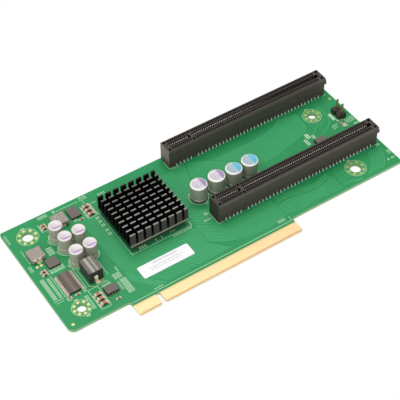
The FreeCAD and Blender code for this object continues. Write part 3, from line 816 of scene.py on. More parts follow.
# Pairs of end curves of each group of covered tracks, and how many tracks the group has.
TRACK_GROUPS = (
    (((30.2, 49.3), (33.6, 48.6), (34.2, 45.5), (34.2, 19.5), (36.5, 14.0), (42.0, 7.8), (49.3, 0.4)),
     ((38.2, 55.0), (41.2, 53.4), (41.8, 50.5), (41.8, 25.0), (44.0, 20.8), (52.0, 12.4),
      (62.4, 0.8)), 10),
    (((34.7, 11.0), (36.6, 7.6), (43.4, 0.4)), ((34.8, 15.4), (39.4, 8.2), (46.9, 0.4)), 4),
    (((45.7, 20.7), (64.3, 0.8)), ((63.2, 19.4), (80.6, 0.8)), 15),
    (((64.4, 19.5), (73.7, 9.5)), ((72.4, 19.5), (74.3, 17.5)), 8),
    (((74.6, 20.5), (83.5, 14.1), (90.0, 13.4), (98.0, 13.3), (104.0, 13.2), (111.5, 13.6)),
     ((74.6, 9.8), (80.5, 5.5), (86.0, 3.2), (96.0, 1.4), (104.0, 1.4), (111.5, 3.0)), 12),
    (((75.2, 31.2), (83.8, 25.2)), ((75.0, 21.7), (83.8, 15.2)), 10),
    (((75.5, 32.5), (79.0, 32.2), (83.5, 31.2)), ((75.5, 54.0), (84.0, 54.0), (91.0, 54.6)), 22),
    (((86.9, 38.5), (98.0, 38.0), (110.0, 36.8), (120.0, 35.4)),
     ((92.3, 54.6), (95.0, 53.2), (99.0, 51.2), (102.4, 49.9)), 15),
    (((121.5, 35.2), (127.0, 35.4), (133.0, 36.4), (143.0, 38.6), (152.0, 41.0), (153.4, 46.0),
      (154.0, 53.0)),
     ((104.0, 49.4), (124.0, 48.8), (131.0, 49.6), (137.0, 50.6), (140.5, 51.6), (143.0, 53.0),
      (144.5, 54.6)), 15),
    (((157.0, 35.0), (164.0, 38.5), (165.6, 42.0), (166.0, 51.0)),
     ((152.4, 36.6), (157.0, 40.4), (161.0, 41.0), (163.8, 42.0)), 2),
    (((112.0, 4.0), (116.0, 2.9), (121.0, 2.0), (125.0, 2.7), (129.0, 3.4), (134.0, 2.7), (140.0, 2.0),
      (143.5, 2.9)),
     ((112.0, 9.0), (118.0, 9.6), (121.0, 8.8), (126.0, 7.8), (131.0, 7.2), (135.0, 7.4), (140.0, 8.5),
      (142.5, 9.6)), 6),
    (((112.5, 11.2), (118.0, 11.6), (121.0, 11.2), (126.0, 10.2), (131.0, 9.3), (134.5, 8.9),
      (137.5, 10.2), (141.5, 10.8)),
     ((113.5, 13.8), (119.5, 13.6), (124.0, 12.8), (128.0, 12.1), (132.0, 11.3), (135.0, 11.1),
      (138.0, 12.2), (142.0, 12.4)), 3),
    (((144.6, 4.3), (146.0, 4.4), (150.0, 3.0), (154.0, 1.6)),
     ((144.6, 3.1), (146.0, 3.2), (150.0, 2.0), (154.0, 0.8)), 2),
    (((157.4, 1.4), (162.0, 4.2), (165.0, 8.0), (167.0, 13.0)),
     ((166.0, 1.4), (170.0, 4.6), (172.2, 9.0), (173.6, 13.4)), 6),
)


def track_paths():
    """All covered tracks on the component side."""
    return [spots(path) for first, last, count in TRACK_GROUPS for path in family(first, last, count)]


# A field of covered vias, laid out like a field of strokes, and four more beside it.
VIA_FIELD = (144.4, 149.7, 5.0, 13.5, 3, 5, 1, 1)
MORE_VIAS = ((143.0, 8.0), (141.6, 10.4), (143.4, 12.9), (140.9, 12.9))
# Place, diameter, and the radii of the ring of dots and of the printed circle.
MOUNTING_HOLES = (
    (9.7, 55.8, 5.3, 3.85, 4.9), (10.0, 8.55, 4.2, 3.3, 4.3),
    (155.5, 8.3, 5.3, 3.8, 5.0), (159.75, 47.3, 3.8, 3.3, 4.6),
)


class RISER_OT_board(bpy.types.Operator):
    """Finish the printed board and lay its covered tracks"""

    bl_idname = "riser.board"
    bl_label = "Board"

    def execute(self, context):
        dress(board_finish(), "circuit_board")
        tracks = Surface()
        add_ribbons(tracks, track_paths(), size("track_width"), height(-SUNK), height(0.015))
        vias = spots(np.concatenate([strokes(*VIA_FIELD)[0], MORE_VIAS]))
        add_discs(tracks, vias, 0.42, height(-SUNK), height(0.02), 16)
        piece("covered_tracks", tracks, covered_finish("track", 7, 0.6))
        return {"FINISHED"}


# Distances of the first fingers of the short and long row, the middle of all, their length and plating.
SHORT_ROW, LONG_ROW, FINGER_V, FINGER_LENGTH, PLATING = 29.1, 42.2, -5.6, 4.6, 0.03
DOT_HEIGHT = 0.035
# Gold marks for the assembly machine at two corners, and three bare discs beside a flat inductor.
MARKS = ((2.75, 2.95), (174.2, 52.2), (5.0, 38.3), (7.0, 40.0), (7.0, 38.2))


class RISER_OT_gold(bpy.types.Operator):
    """Plate the edge fingers on both sides, the rings of vias and the bare pads"""

    bl_idname = "riser.gold"
    bl_label = "Gold plating"

    def execute(self, context):
        gold = Surface()
        u = np.concatenate([SHORT_ROW + np.arange(11), LONG_ROW + np.arange(71)])
        centres = spots(np.stack([u, np.full(len(u), FINGER_V)], axis=1))
        for face in (TOP, UNDER):
            add_plates(
                gold, centres, (size("finger_width"), FINGER_LENGTH), face - PLATING, face + PLATING
            )
        piece("gold_fingers", gold, gold_finish())
        dots = Surface()
        angle = TAU * np.arange(8) / 8
        for u, v, _, ring_radius, _ in MOUNTING_HOLES:
            places = spot(u, v) + ring_radius * np.stack([np.cos(angle), np.sin(angle)], axis=1)
            add_discs(dots, places, 0.68, height(-SUNK), height(DOT_HEIGHT))
            add_discs(dots, places, 0.68, UNDER - DOT_HEIGHT, UNDER + SUNK)
        add_discs(dots, spots(MARKS), 0.7, height(-SUNK), height(DOT_HEIGHT), 24)
        piece("ring_dots", dots, dot_finish())
        return {"FINISHED"}


PRINT_LINES = (
    ((42.8, 51.8), (42.8, 21.4), (73.5, 21.4), (73.5, 23.8)),
    ((28.6, -1.2), (111.8, -1.2)), ((112.1, -1.3), (112.1, 1.4)),
    ((16.7, 3.4), (16.7, 14.4), (17.2, 14.9), (20.9, 14.9), (21.4, 14.4),
     (21.4, 3.4), (20.9, 2.9), (17.2, 2.9), (16.7, 3.4)),
    ((37.4, 58.4), (37.4, 50.2), (42.2, 50.2), (42.2, 58.4)),
    ((16.4, 59.4), (16.4, 54.4), (20.2, 54.4)), ((40.4, 59.0), (40.4, 62.2)),
    ((18.4, 28.2), (18.4, 16.6), (20.4, 15.2), (26.8, 15.2)), ((28.4, 29.5), (28.4, 18.0)),
    ((1.6, 17.2), (6.4, 17.2)), ((2.2, 16.0), (5.7, 16.0)),
    ((7.2, 16.6), (7.2, 31.0)), ((17.1, 16.6), (17.1, 31.0)),
    ((168.0, 44.6), (168.1, 37.5), (170.1, 37.4)),
    ((163.3, 36.3), (163.3, 33.5)), ((163.8, 36.4), (167.0, 36.4)),
    ((83.9, 15.3), (83.9, 23.4)), ((83.9, 55.9), (83.9, 61.5)),
    ((83.9, 15.3), (86.6, 15.3)), ((83.9, 55.9), (86.6, 55.9)),
    ((172.0, 15.1), (174.4, 15.1)), ((172.0, 55.7), (174.4, 55.7)),
)
# Fields of short strokes: left, right, front, back, columns, rows, and a cell's inked share both ways.
PRINT_FIELDS = (
    (0.5, 1.9, 56.1, 62.1, 2, 7, 0.6, 0.5), (18.1, 22.9, 61.5, 63.6, 6, 1, 0.45, 0.9),
    (25.5, 26.9, 61.5, 63.5, 2, 1, 0.5, 0.9), (27.1, 38.6, 61.7, 62.4, 12, 1, 0.6, 0.6),
    (39.3, 43.1, 61.5, 63.9, 5, 2, 0.5, 0.7), (31.1, 33.1, 51.7, 53.3, 3, 1, 0.5, 0.9),
    (42.9, 45.4, 57.1, 58.1, 4, 1, 0.4, 0.8), (47.8, 51.7, 59.7, 61.2, 4, 1, 0.4, 0.8),
    (2.9, 3.7, 41.3, 50.3, 1, 9, 0.6, 0.55), (12.5, 15.5, 40.7, 45.5, 4, 4, 0.7, 0.7),
    (8.1, 15.1, 31.2, 34.4, 9, 2, 0.6, 0.8), (2.1, 4.0, 18.0, 31.1, 3, 24, 0.75, 0.75),
    (4.9, 6.3, 18.0, 30.3, 2, 24, 0.75, 0.7), (15.1, 16.8, 14.8, 18.3, 2, 4, 0.55, 0.7),
    (7.3, 9.1, 14.3, 15.3, 2, 1, 0.6, 0.8), (9.5, 11.5, 2.9, 4.4, 3, 1, 0.65, 0.9),
    (13.7, 15.5, 5.1, 13.3, 2, 8, 0.65, 0.7), (22.7, 27.1, 12.9, 14.3, 6, 1, 0.55, 0.9),
    (23.6, 25.8, 15.6, 17.4, 4, 1, 0.5, 0.9), (29.0, 30.4, 7.1, 12.3, 1, 7, 0.7, 0.5),
    (29.3, 33.1, 13.5, 16.8, 5, 4, 0.72, 0.72), (30.7, 33.8, 4.0, 12.8, 4, 11, 0.72, 0.72),
    (32.5, 33.3, 16.9, 19.8, 1, 4, 0.7, 0.75), (40.5, 45.0, -0.5, 0.3, 4, 1, 0.5, 0.8),
    (105.9, 109.9, 0.3, 1.9, 5, 2, 0.6, 0.7), (40.0, 42.0, 47.5, 49.2, 2, 1, 0.55, 0.9),
    (40.0, 42.0, 45.0, 46.7, 2, 1, 0.55, 0.9), (40.0, 42.0, 42.4, 44.1, 2, 1, 0.55, 0.9),
    (40.0, 42.0, 39.0, 40.7, 2, 1, 0.55, 0.9), (40.0, 42.0, 36.5, 38.2, 2, 1, 0.55, 0.9),
    (46.9, 50.7, 22.0, 23.9, 3, 1, 0.6, 0.9), (55.4, 56.2, 22.0, 24.0, 1, 1, 0.6, 0.9),
    (58.4, 59.2, 22.0, 24.0, 1, 1, 0.6, 0.9), (63.1, 66.1, 22.8, 23.6, 6, 1, 0.5, 0.9),
    (63.1, 73.0, 19.8, 20.9, 9, 1, 0.5, 0.9), (79.2, 83.1, 19.4, 20.5, 4, 1, 0.45, 0.9),
    (81.5, 83.3, 22.4, 24.3, 2, 2, 0.6, 0.6), (85.3, 87.4, 28.1, 29.3, 2, 1, 0.5, 0.9),
    (84.6, 88.8, 54.7, 55.5, 5, 1, 0.5, 0.8), (82.0, 83.2, 36.8, 37.8, 2, 1, 0.6, 0.8),
    (146.1, 148.0, 32.0, 36.4, 2, 1, 0.65, 0.95), (148.4, 150.6, 35.6, 39.2, 2, 1, 0.75, 0.95),
    (150.9, 152.6, 34.2, 36.9, 2, 1, 0.6, 0.95), (166.2, 168.0, 39.0, 43.8, 1, 1, 0.85, 1.0),
    (163.5, 166.0, 34.0, 36.0, 3, 2, 0.5, 0.5), (170.6, 175.8, 33.8, 37.2, 5, 3, 0.6, 0.6),
    (173.2, 175.8, 31.4, 32.4, 2, 1, 0.7, 0.9),
    (174.1, 175.9, 6.9, 9.5, 2, 3, 0.65, 0.6), (173.2, 175.2, 3.7, 4.8, 2, 1, 0.6, 0.9),
    (171.2, 172.2, 3.8, 4.8, 1, 1, 0.9, 0.9), (172.6, 174.6, 14.0, 14.8, 2, 1, 0.8, 0.9),
)
# Size of the mark behind each mounting hole, and two small printed loops.
HOLE_MARK = (1.8, 0.9)
SMALL_LOOPS = ((2.1, 39.5), (2.1, 37.7))


def strokes(left, right, front, back, columns, rows, inked_across, inked_along):
    """Middles and sizes of the strokes of one field, one in every cell."""
    wide, deep = (right - left) / columns, (back - front) / rows
    u = left + wide * (np.arange(columns) + 0.5)
    v = front + deep * (np.arange(rows) + 0.5)
    middles = np.stack(np.meshgrid(u, v), axis=-1).reshape(-1, 2)
    return middles, np.broadcast_to((wide * inked_across, deep * inked_along), middles.shape)


class RISER_OT_print(bpy.types.Operator):
    """Print the pale outlines, rings and generic marks on the board"""

    bl_idname = "riser.print"
    bl_label = "Board print"

    def execute(self, context):
        ink = Surface()
        bottom, top = height(-SUNK / 2), height(PRINT_HEIGHT)
        for u, v, _, _, circle in MOUNTING_HOLES:
            add_rings(ink, [spot(u, v)], circle - 0.1, circle + 0.1, bottom, top, 64)
            add_plates(ink, [spot(u, v + circle + 0.35)], HOLE_MARK, bottom, top)
        add_ribbons(ink, [spots(line) for line in PRINT_LINES], size("print_width"), bottom, top)
        fields = [strokes(*field) for field in PRINT_FIELDS]
        add_plates(
            ink, spots(np.concatenate([middles for middles, _ in fields])),
            np.concatenate([sizes for _, sizes in fields]), bottom, top,
        )
        add_rings(ink, spots(SMALL_LOOPS), 0.5, 0.8, bottom, top, 24)
        small, large = spots(SMALL_CANS), spots(LARGE_CANS)
        start, sweep = math.radians(176), math.radians(85)
        add_rings(ink, small, 3.35, 3.8, bottom, top, 64)
        add_rings(ink, small, 4.3, 4.7, bottom, top, 24, start, sweep)
        add_rings(ink, large, 4.4, 4.7, bottom, top, 72)
        material = plain_finish("print_ink", tint("print_ink"), 0.5, grain=0.25, dark=0.9)
        piece("board_print", ink, material)
        rings = Surface()
        for u, v, hole, _, circle in MOUNTING_HOLES:
            inner, outer = hole / 2 + 0.05, circle - 0.14
            add_rings(rings, [spot(u, v)], inner, outer, height(-0.015), height(0.012), 64)
        piece("covered_rings", rings, covered_finish("ring", 1.6, 1.0))
        return {"FINISHED"}


# Rows of plain bars on the label: from, to, place across, height and the widest bar.
LABEL_ROWS = ((47.4, 60.6, 12.5, 0.9, 0.6), (44.4, 62.2, 10.6, 0.4, 1.4), (45.0, 61.0, 9.4, 0.4, 1.6))


class RISER_OT_label(bpy.types.Operator):
    """Finish the paper label and print plain bars on it"""

    bl_idname = "riser.label"
    bl_label = "Label"

    def execute(self, context):
        dress(plain_finish("label_paper", tint("paper"), 0.6, grain=0.2, dark=0.95), "paper_label")
        bars = Surface()
        random = np.random.default_rng(8)
        for first, last, v, tall, widest in LABEL_ROWS:
            wide = random.uniform(0.3, widest, 60)
            start = first + np.cumsum(wide + 0.35) - wide
            wide, start = wide[start + wide < last], start[start + wide < last]
            middles = [(u, v) for u in start + wide / 2]
            sizes = [(width, tall) for width in wide]
            add_plates(bars, spots(middles), sizes, height(0.1), height(0.13))
        material = plain_finish("label_ink", paint(206, 200, 202), 0.6)
        piece("label_bars", bars, material)
        return {"FINISHED"}


# ------------------------------------------------------------------ slots
SLOT_FRONTS = {"rear": 56.3, "front": 15.66}
SLOT_LEFT = 84.1
# Along the housing from its left end: contacts, key wall, solder tails, end windows and the two bays.
CONTACTS = np.concatenate([3.0 + np.arange(11), 16.0 + np.arange(71)])
KEY_MIDDLE = 14.5
TAILS = np.concatenate([np.arange(4.0, 13.0, 2.0), np.arange(16.0, 88.0, 2.0)])
END_WINDOWS = ((0.8, 1.9), (13.95, 15.05), (88.0, 89.1))
BAYS = ((2.0, 13.95), (15.05, 87.9))
# Across it: half the mouth, half the bay below it, half a contact's channel, and the windows' rows.
MOUTH, BAY, CHANNEL = 0.85, 1.55, 1.2
WINDOW_ROW, END_WINDOW_ROW, END_WINDOW_HALF = 1.35, 1.15, 0.7
# Heights of the bay's and the end windows' floors, and depths of the mouth and the contacts' windows.
BAY_FLOOR, END_WINDOW_FLOOR, MOUTH_DEPTH, WINDOW_DEPTH = 2.4, 7.6, 1.1, 2.2
# Notches over the tails.
NOTCH_HALF, NOTCH_DEPTH, NOTCH_HEIGHT = 0.3, 0.9, 1.15
HOUSING = (89.5, 7.4, 10.6)
# Nose at the right end: reach at its top and its tip, height of the tip and of the corner under it.
NOSE_TOP, NOSE_TIP, NOSE_BOTTOM, NOSE_CORNER = 0.4, 1.4, 6.7, 6.5
# Chamfer round the top.
RIDGE = 0.07
MIDDLE = HOUSING[1] / 2
PEGS = (KEY_MIDDLE, 80.0)
SPRING_PATH = ((1.36, 2.35), (1.36, 4.6), (1.1, 6.6), (0.7, 8.1), (0.62, 8.6), (0.78, 9.2), (1.12, 10.05))
TAIL_PATH = ((-0.6, 1.05), (0.02, 1.05), (0.12, 0.96), (0.18, 0.3), (0.24, 0.1), (0.4, 0.08))


def housing_surface(front):
    """Slot body: a block of cells loses its mouth, bays, windows and notches, then its nose is leaned."""
    length, width, tall = HOUSING
    window = size("window_length") / 2
    across = size("window_width") / 2
    rows = (WINDOW_ROW, width - WINDOW_ROW)
    cuts = [((length, length + 9), (0, width), (0, NOSE_CORNER))]
    for bay in BAYS:
        cuts.append((bay, (MIDDLE - MOUTH, MIDDLE + MOUTH), (BAY_FLOOR, tall)))
        cuts.append((bay, (MIDDLE - BAY, MIDDLE + BAY), (BAY_FLOOR, tall - MOUTH_DEPTH)))
    for x in CONTACTS:
        along = (x - window, x + window)
        cuts.append((along, (MIDDLE - CHANNEL, MIDDLE + CHANNEL), (BAY_FLOOR, tall)))
        cuts += [(along, (row - across, row + across), (tall - WINDOW_DEPTH, tall)) for row in rows]
    for row in (END_WINDOW_ROW, width - END_WINDOW_ROW):
        deep = (row - END_WINDOW_HALF, row + END_WINDOW_HALF)
        cuts += [(along, deep, (END_WINDOW_FLOOR, tall)) for along in END_WINDOWS]
    for x in TAILS:
        along = (x - NOTCH_HALF, x + NOTCH_HALF)
        cuts.append((along, (0, NOTCH_DEPTH), (0, NOTCH_HEIGHT)))
        cuts.append((along, (width - NOTCH_DEPTH, width), (0, NOTCH_HEIGHT)))
    skin = 0.12
    walls = [np.array([cut[axis] for cut in cuts]) for axis in range(3)]
    xs = breaks(0, skin, length, length + NOSE_TIP - 0.1, length + NOSE_TIP, walls[0][1:])
    ys = breaks(0, skin, width - skin, width, walls[1])
    zs = breaks(0, tall - skin, tall, walls[2])
    solid = np.ones((len(xs) - 1, len(ys) - 1, len(zs) - 1), bool)
    for x, y, z in cuts:
        solid[np.ix_(within(xs, *x), within(ys, *y), within(zs, *z))] = False
    points, faces = carved(xs, ys, zs, solid)
    x, y, z = points.T
    share = np.clip((x - length) / NOSE_TIP, 0, 1)
    reach = NOSE_TIP - np.clip((z - NOSE_BOTTOM) / (tall - NOSE_BOTTOM), 0, 1) * (NOSE_TIP - NOSE_TOP)
    new_x = np.where(share > 0, length + share * reach, x)
    new_z = np.where((share > 0) & (z < NOSE_BOTTOM), z + share * (NOSE_BOTTOM - NOSE_CORNER), z)
    front_edge, back_edge, left_edge, right_edge = y < 0.01, y > width - 0.01, x < 0.01, share > 0.99
    top = z > tall - 0.01
    new_y = y + RIDGE * (top & front_edge) - RIDGE * (top & back_edge)
    new_x = new_x + RIDGE * (top & left_edge) - RIDGE * (top & right_edge)
    new_z = new_z - 0.5 * RIDGE * (top & (front_edge | back_edge | left_edge | right_edge))
    made = Surface()
    made.add(np.stack([new_x, new_y, new_z], axis=1) + (*spot(SLOT_LEFT, front), TOP), faces)
    pegs = spots([(SLOT_LEFT + u, front + MIDDLE) for u in PEGS])
    add_turnings(made, pegs, [(0.8, 0.02), (1.05, 0.35), (1.1, 0.6), (1.1, TOP + 0.05)], 24)
    return made


def contact_surface(front):
    """Spring contacts: each strip rises by the bay's wall, leans into the slot and flares at its tip."""
    made = Surface()
    roots = lifted([spot(SLOT_LEFT + u, front + MIDDLE) for u in CONTACTS], TOP)
    for side in (-1, 1):
        add_strips(made, roots, (0, side), SPRING_PATH, 0.14, 0.46)
    return made


def tail_surface(front):
    """Solder tails: each leaves the housing's foot and slants down to a joint on the board."""
    made = Surface()
    for row, side in ((front, -1), (front + HOUSING[1], 1)):
        places = spots([(SLOT_LEFT + u, row) for u in TAILS])
        add_strips(made, lifted(places, TOP), (0, side), TAIL_PATH, 0.16, size("tail_width"))
        joints = places + (0, side * 0.3)
        add_turnings(made, joints, [(0.3, height(-0.01)), (0.28, height(0.04)), (0.18, height(0.14))], 12)
    return made


class RISER_OT_slots(bpy.types.Operator):
    """Mould both card slots and set their contact rows"""

    bl_idname = "riser.slots"
    bl_label = "Slots"

    def execute(self, context):
        plastic = slot_finish()
        springs = spring_finish()
        tin = tail_finish()
        for name, front in SLOT_FRONTS.items():
            slot = name + "_slot_"
            piece(slot + "body", housing_surface(front), plastic, (slot + "housing",))
            piece(slot + "springs", contact_surface(front), springs, (slot + "contacts",))
            piece(slot + "tails", tail_surface(front), tin)
        return {"FINISHED"}


# ------------------------------------------------------------------ heat sink and switch chip
# Blades: columns along the card and rows across it, on a base.
COLUMNS, COLUMN_PITCH, BLADE_LENGTH = 8, 3.97, 2.75
ROWS, ROW_PITCH, BLADE_DEPTH = 10, 3.044, 0.86
SINK_BASE = 1.2


class RISER_OT_sink(bpy.types.Operator):
    """Mill the heat sink's blades and finish the chip below it"""

    bl_idname = "riser.sink"
    bl_label = "Heat sink"

    def execute(self, context):
        low, high = corners("heat_sink")
        sink = Surface()
        add_blocks(sink, [low], [(high[0], high[1], low[2] + SINK_BASE)])
        left = low[0] + COLUMN_PITCH * np.arange(COLUMNS)
        front = low[1] + ROW_PITCH * np.arange(ROWS)
        near = np.stack(np.meshgrid(left, front, indexing="ij"), axis=-1).reshape(-1, 2)
        far = np.minimum(near + (BLADE_LENGTH, BLADE_DEPTH), high[:2])
        add_blocks(sink, lifted(near, low[2] + SINK_BASE - 0.2), lifted(far, high[2]))
        piece("pin_fin_sink", sink, sink_finish(), ("heat_sink",), bevel=0.1)
        dress(plain_finish("thermal_rubber", paint(150, 152, 156), 0.7), "thermal_pad")
        dress(plain_finish("chip_substrate", tint("substrate"), 0.45), "switch_chip_substrate")
        dress(plain_finish("chip_cap", tint("epoxy"), 0.5), "switch_chip_cap")
        return {"FINISHED"}


# ------------------------------------------------------------------ capacitors
LARGE_CANS = ((85.4, 33.6), (94.9, 33.4), (104.0, 32.9), (112.9, 33.1))
SMALL_CANS = ((20.3, 48.5), (20.8, 41.0), (27.7, 41.0), (21.1, 31.7), (28.0, 31.7))
CAN_SIDES = 64
# Each size's places, radius, height and lead spacing, and its marks: name, first can, stop and edge.
CAN_SIZES = {
    "large": (LARGE_CANS, 4.0, 8.9, 3.5, (("purple", 0, 2, 1.7), ("blue", 2, 4, 1.15))),
    "small": (SMALL_CANS, 3.15, 8.2, 2.5, (("purple", 0, 5, -1.5),)),
}
LEAD_PROFILE = ((0.22, 0.03), (0.3, 0.1), (0.32, 0.35), (0.42, 0.7), (0.75, 1.02))


def can_profile(radius, top):
    """Radius and height of a can: curled foot, round crimp groove, wall, rounded shoulder, sunk top."""
    foot = [
        (radius - 0.35, 0.78), (radius - 0.05, 0.8), (radius, 0.95), (radius, 1.15), (radius - 0.1, 1.3),
    ]
    turn = np.linspace(-math.pi / 2, math.pi / 2, 9)
    groove = [(radius - 0.05 - 0.35 * math.cos(a), 1.95 + 0.55 * math.sin(a)) for a in turn]
    bend = np.linspace(0, math.pi / 2, 7)
    shoulder = [(radius - 0.55 + 0.55 * math.cos(a), top - 0.55 + 0.55 * math.sin(a)) for a in bend]
    rest = [(radius - 0.8, top), (radius - 0.95, top - 0.06), (0.02, top - 0.06)]
    return foot + groove + [(radius, 2.7), (radius, 3.4), (radius, top - 1.4)] + shoulder + rest


def store_centres(made, centres, each):
    """Keeps each can's middle with its vertices, as a vector in metres."""
    data = np.zeros((len(made.data.vertices), 3))
    data[:, :2] = np.repeat(np.asarray(centres) * MM, each, axis=0)
    attribute = made.data.attributes.new("can_centre", "FLOAT_VECTOR", "POINT")
    attribute.data.foreach_set("vector", data.ravel())


class RISER_OT_cans(bpy.types.Operator):
    """Turn the capacitor cans, their bungs and leads, with solder below the board"""

    bl_idname = "riser.cans"
    bl_label = "Capacitors"

    def execute(self, context):
        rubbers = {
            "large": plain_finish("rubber_bung", tint("rubber"), 0.6),
            "small": plain_finish("small_base", tint("small_base"), 0.6),
        }
        tin = tin_finish()
        for name, (places, radius, top, spacing, marks) in CAN_SIZES.items():
            small = name == "small"
            centres = spots(places)
            profile = [(r, height(z)) for r, z in can_profile(radius, top)]
            for mark, first, stop, line in marks:
                look = can_finish(
                    f"{name}_can_{mark}", tint("blue_can_top" if mark == "blue" else "can_top"),
                    tint("lilac" if small else mark), int(small), line, radius,
                )
                can = Surface()
                add_turnings(can, centres[first:stop], profile, CAN_SIDES)
                made = piece(
                    f"{name}_cans_{mark}", can, look,
                    [f"{name}_capacitor_can_{n + 1}" for n in range(first, stop)], smooth=35,
                )
                store_centres(made, centres[first:stop], len(profile) * CAN_SIDES)
            bung = Surface()
            add_turnings(bung, centres, [
                (radius - 0.3, height(0.0)), (radius + 0.05, height(0.08)), (radius + 0.1, height(0.3)),
                (radius + 0.1, height(0.62)), (radius, height(0.8)), (radius - 0.6, height(0.82)),
            ])
            numbers = range(1, len(places) + 1)
            piece(
                name + "_bungs", bung, rubbers[name],
                [f"{name}_capacitor_base_{n}" for n in numbers], smooth=40,
            )
            leads = Surface()
            holes = np.concatenate([centres + (side * spacing / 2, 0) for side in (-1, 1)])
            add_turnings(leads, holes, (*LEAD_PROFILE, (1.0, UNDER + SUNK)), 20)
            add_turnings(leads, holes, ((0.3, UNDER), (0.3, height(0.1))), 12)
            piece(
                name + "_can_leads", leads, tin,
                [f"{name}_capacitor_leads_{n}" for n in numbers], smooth=50,
            )
        return {"FINISHED"}


# ------------------------------------------------------------------ inductors
# Solder bead on the front of the tall inductor, and two solder nubs on the front of a flat one.
BEAD_U, BEAD_RADIUS, BEAD_HEIGHT = 22.6, 0.95, 2.9
NUBS = (5.4, 7.6)


class RISER_OT_inductors(bpy.types.Operator):
    """Press the flat inductors and the tall ferrite one"""

    bl_idname = "riser.inductors"
    bl_label = "Inductors"

    def execute(self, context):
        powder = Surface()
        for name in ("powder_inductor_core_1", "powder_inductor_core_2"):
            low, high = corners(name)
            add_blocks(powder, [low + (0, 0, 0.05)], [high])
        piece(
            "powder_cores", powder, powder_finish(),
            nodes_like("powder_inductor_core"), bevel=0.4, segments=3,
        )
        cream = plain_finish("cream_solder", paint(252, 238, 206), 0.4)
        dress(cream, *nodes_like("powder_inductor_foils"), "ferrite_inductor_terminals")
        dress(ferrite_finish(), "ferrite_inductor_core")
        front = corners("ferrite_inductor_core")[0][1]
        solder = Surface()
        angle = np.linspace(-1.5, 1.5, 13)
        ball = BEAD_RADIUS * np.stack([np.cos(angle), np.sin(angle)], axis=1) + (0, height(BEAD_HEIGHT))
        x = at_u(BEAD_U)
        add_turnings(solder, [(x, front + 0.1)], ball, 32)
        add_strips(solder, [(x, front, TOP)], (0, -1), ((0.3, 2.2), (0.45, 1.2), (0.62, 0.1)), 0.3, 0.9)
        add_plates(solder, [(x + 0.2, front - 0.7)], (1.9, 1.6), height(-SUNK), height(0.1))
        low, high = corners("powder_inductor_core_1")
        nubs = [(at_u(u), low[1]) for u in NUBS]
        add_plates(solder, nubs, (1.3, 0.5), high[2] - 1.0, high[2] - 0.1)
        piece("inductor_leads", solder, cream, smooth=50)
        return {"FINISHED"}


# ------------------------------------------------------------------ chips and small parts
def gull_wings(surface, node, count, pitch, width, thickness, along, exit_height):
    """Leads on both long sides: out of the body, down a slope and flat on the board."""
    low, high = corners(node)
    middle = (low + high) / 2
    offsets = (np.arange(count) - (count - 1) / 2) * pitch
    other = 1 - along
    reach = (high[other] - low[other]) / 2
    half = thickness / 2
    for side in (-1, 1):
        roots = np.zeros((count, 3))
        roots[:, along] = middle[along] + offsets
        roots[:, other] = middle[other]
        roots[:, 2] = TOP
        out = np.zeros(2)
        out[other] = side
        start = reach - 1.2
        path = [
            (start, exit_height), (start + 0.35, exit_height), (start + 0.5, exit_height - 0.1),
            (start + 0.62, half + 0.08), (start + 0.72, half), (reach, half),
        ]
        add_strips(surface, roots, out, path, thickness, width)


class RISER_OT_chips(bpy.types.Operator):
    """Finish the chip packages and bend their leads"""

    bl_idname = "riser.chips"
    bl_label = "Chips"

    def execute(self, context):
        dress(chip_finish("black_epoxy"), "gate_driver_package", "regulator_package",
              "serial_memory_package", "clock_chip_package")
        dress(chip_finish("streaked_epoxy", corners("buffer_package")), "buffer_package")
        leads = Surface()
        gull_wings(leads, "buffer_leads", 24, 0.5, 0.25, 0.15, 1, 0.6)
        low, high = corners("buffer_leads")
        middle = (low + high) / 2
        for side in (-1, 1):
            edge = (middle[0] + side * ((high[0] - low[0]) / 2 - 0.45), middle[1])
            add_plates(leads, [edge], (1.2, high[1] - low[1] + 0.3), height(-SUNK), height(0.03))
        pale = plain_finish("pale_solder", paint(214, 200, 180), 0.4)
        piece("buffer_lead_rows", leads, pale, ("buffer_leads",))
        leads = Surface()
        nodes = ("serial_memory_leads", "clock_chip_leads")
        for node in nodes:
            gull_wings(leads, node, 4, 1.27, 0.42, 0.2, 0, 0.8)
        # Painted shade: these tinned leads are coloured a dark grey-green, as tin in shadow.
        shaded_leads = plain_finish("dull_solder", paint(118, 128, 104), 0.5)
        piece("small_chip_leads", leads, shaded_leads, nodes)
        return {"FINISHED"}


# Length, depth and height of each size of chip part, and its places.
CERAMICS = (
    (3.2, 1.6, 1.25, ((39.8, 56.9), (39.8, 54.4), (39.8, 51.8), (19.1, 10.4), (19.1, 7.8), (19.1, 5.1))),
    (2.0, 1.25, 0.95, ((18.2, 57.6), (18.2, 55.8), (5.9, 34.3), (5.9, 32.4))),
)
LAMP_PADS = ((168.9, 33.2), (168.9, 37.9))
RESISTORS = (1.6, 0.85, 0.5, ((12.3, 15.7), (8.3, 15.6), (25.6, 4.2), (34.6, 51.6)))


def chip_shapes(bodies, caps, pads, length, depth, tall, places):
    """Small chips: a body between two end caps on two solder pads."""
    share = 0.24 * length
    centres = spots(places)
    add_plates(
        bodies, centres, (length - 2 * share + 0.1, depth * 0.94), height(0.05), height(tall - 0.03)
    )
    for side in (-1, 1):
        ends = centres + (side * (length - share) / 2, 0)
        add_plates(caps, ends, (share, depth), TOP, height(tall))
        feet = centres + (side * (length / 2 + 0.1), 0)
        add_plates(pads, feet, (share + 0.3, depth + 0.1), height(-SUNK), height(0.06))


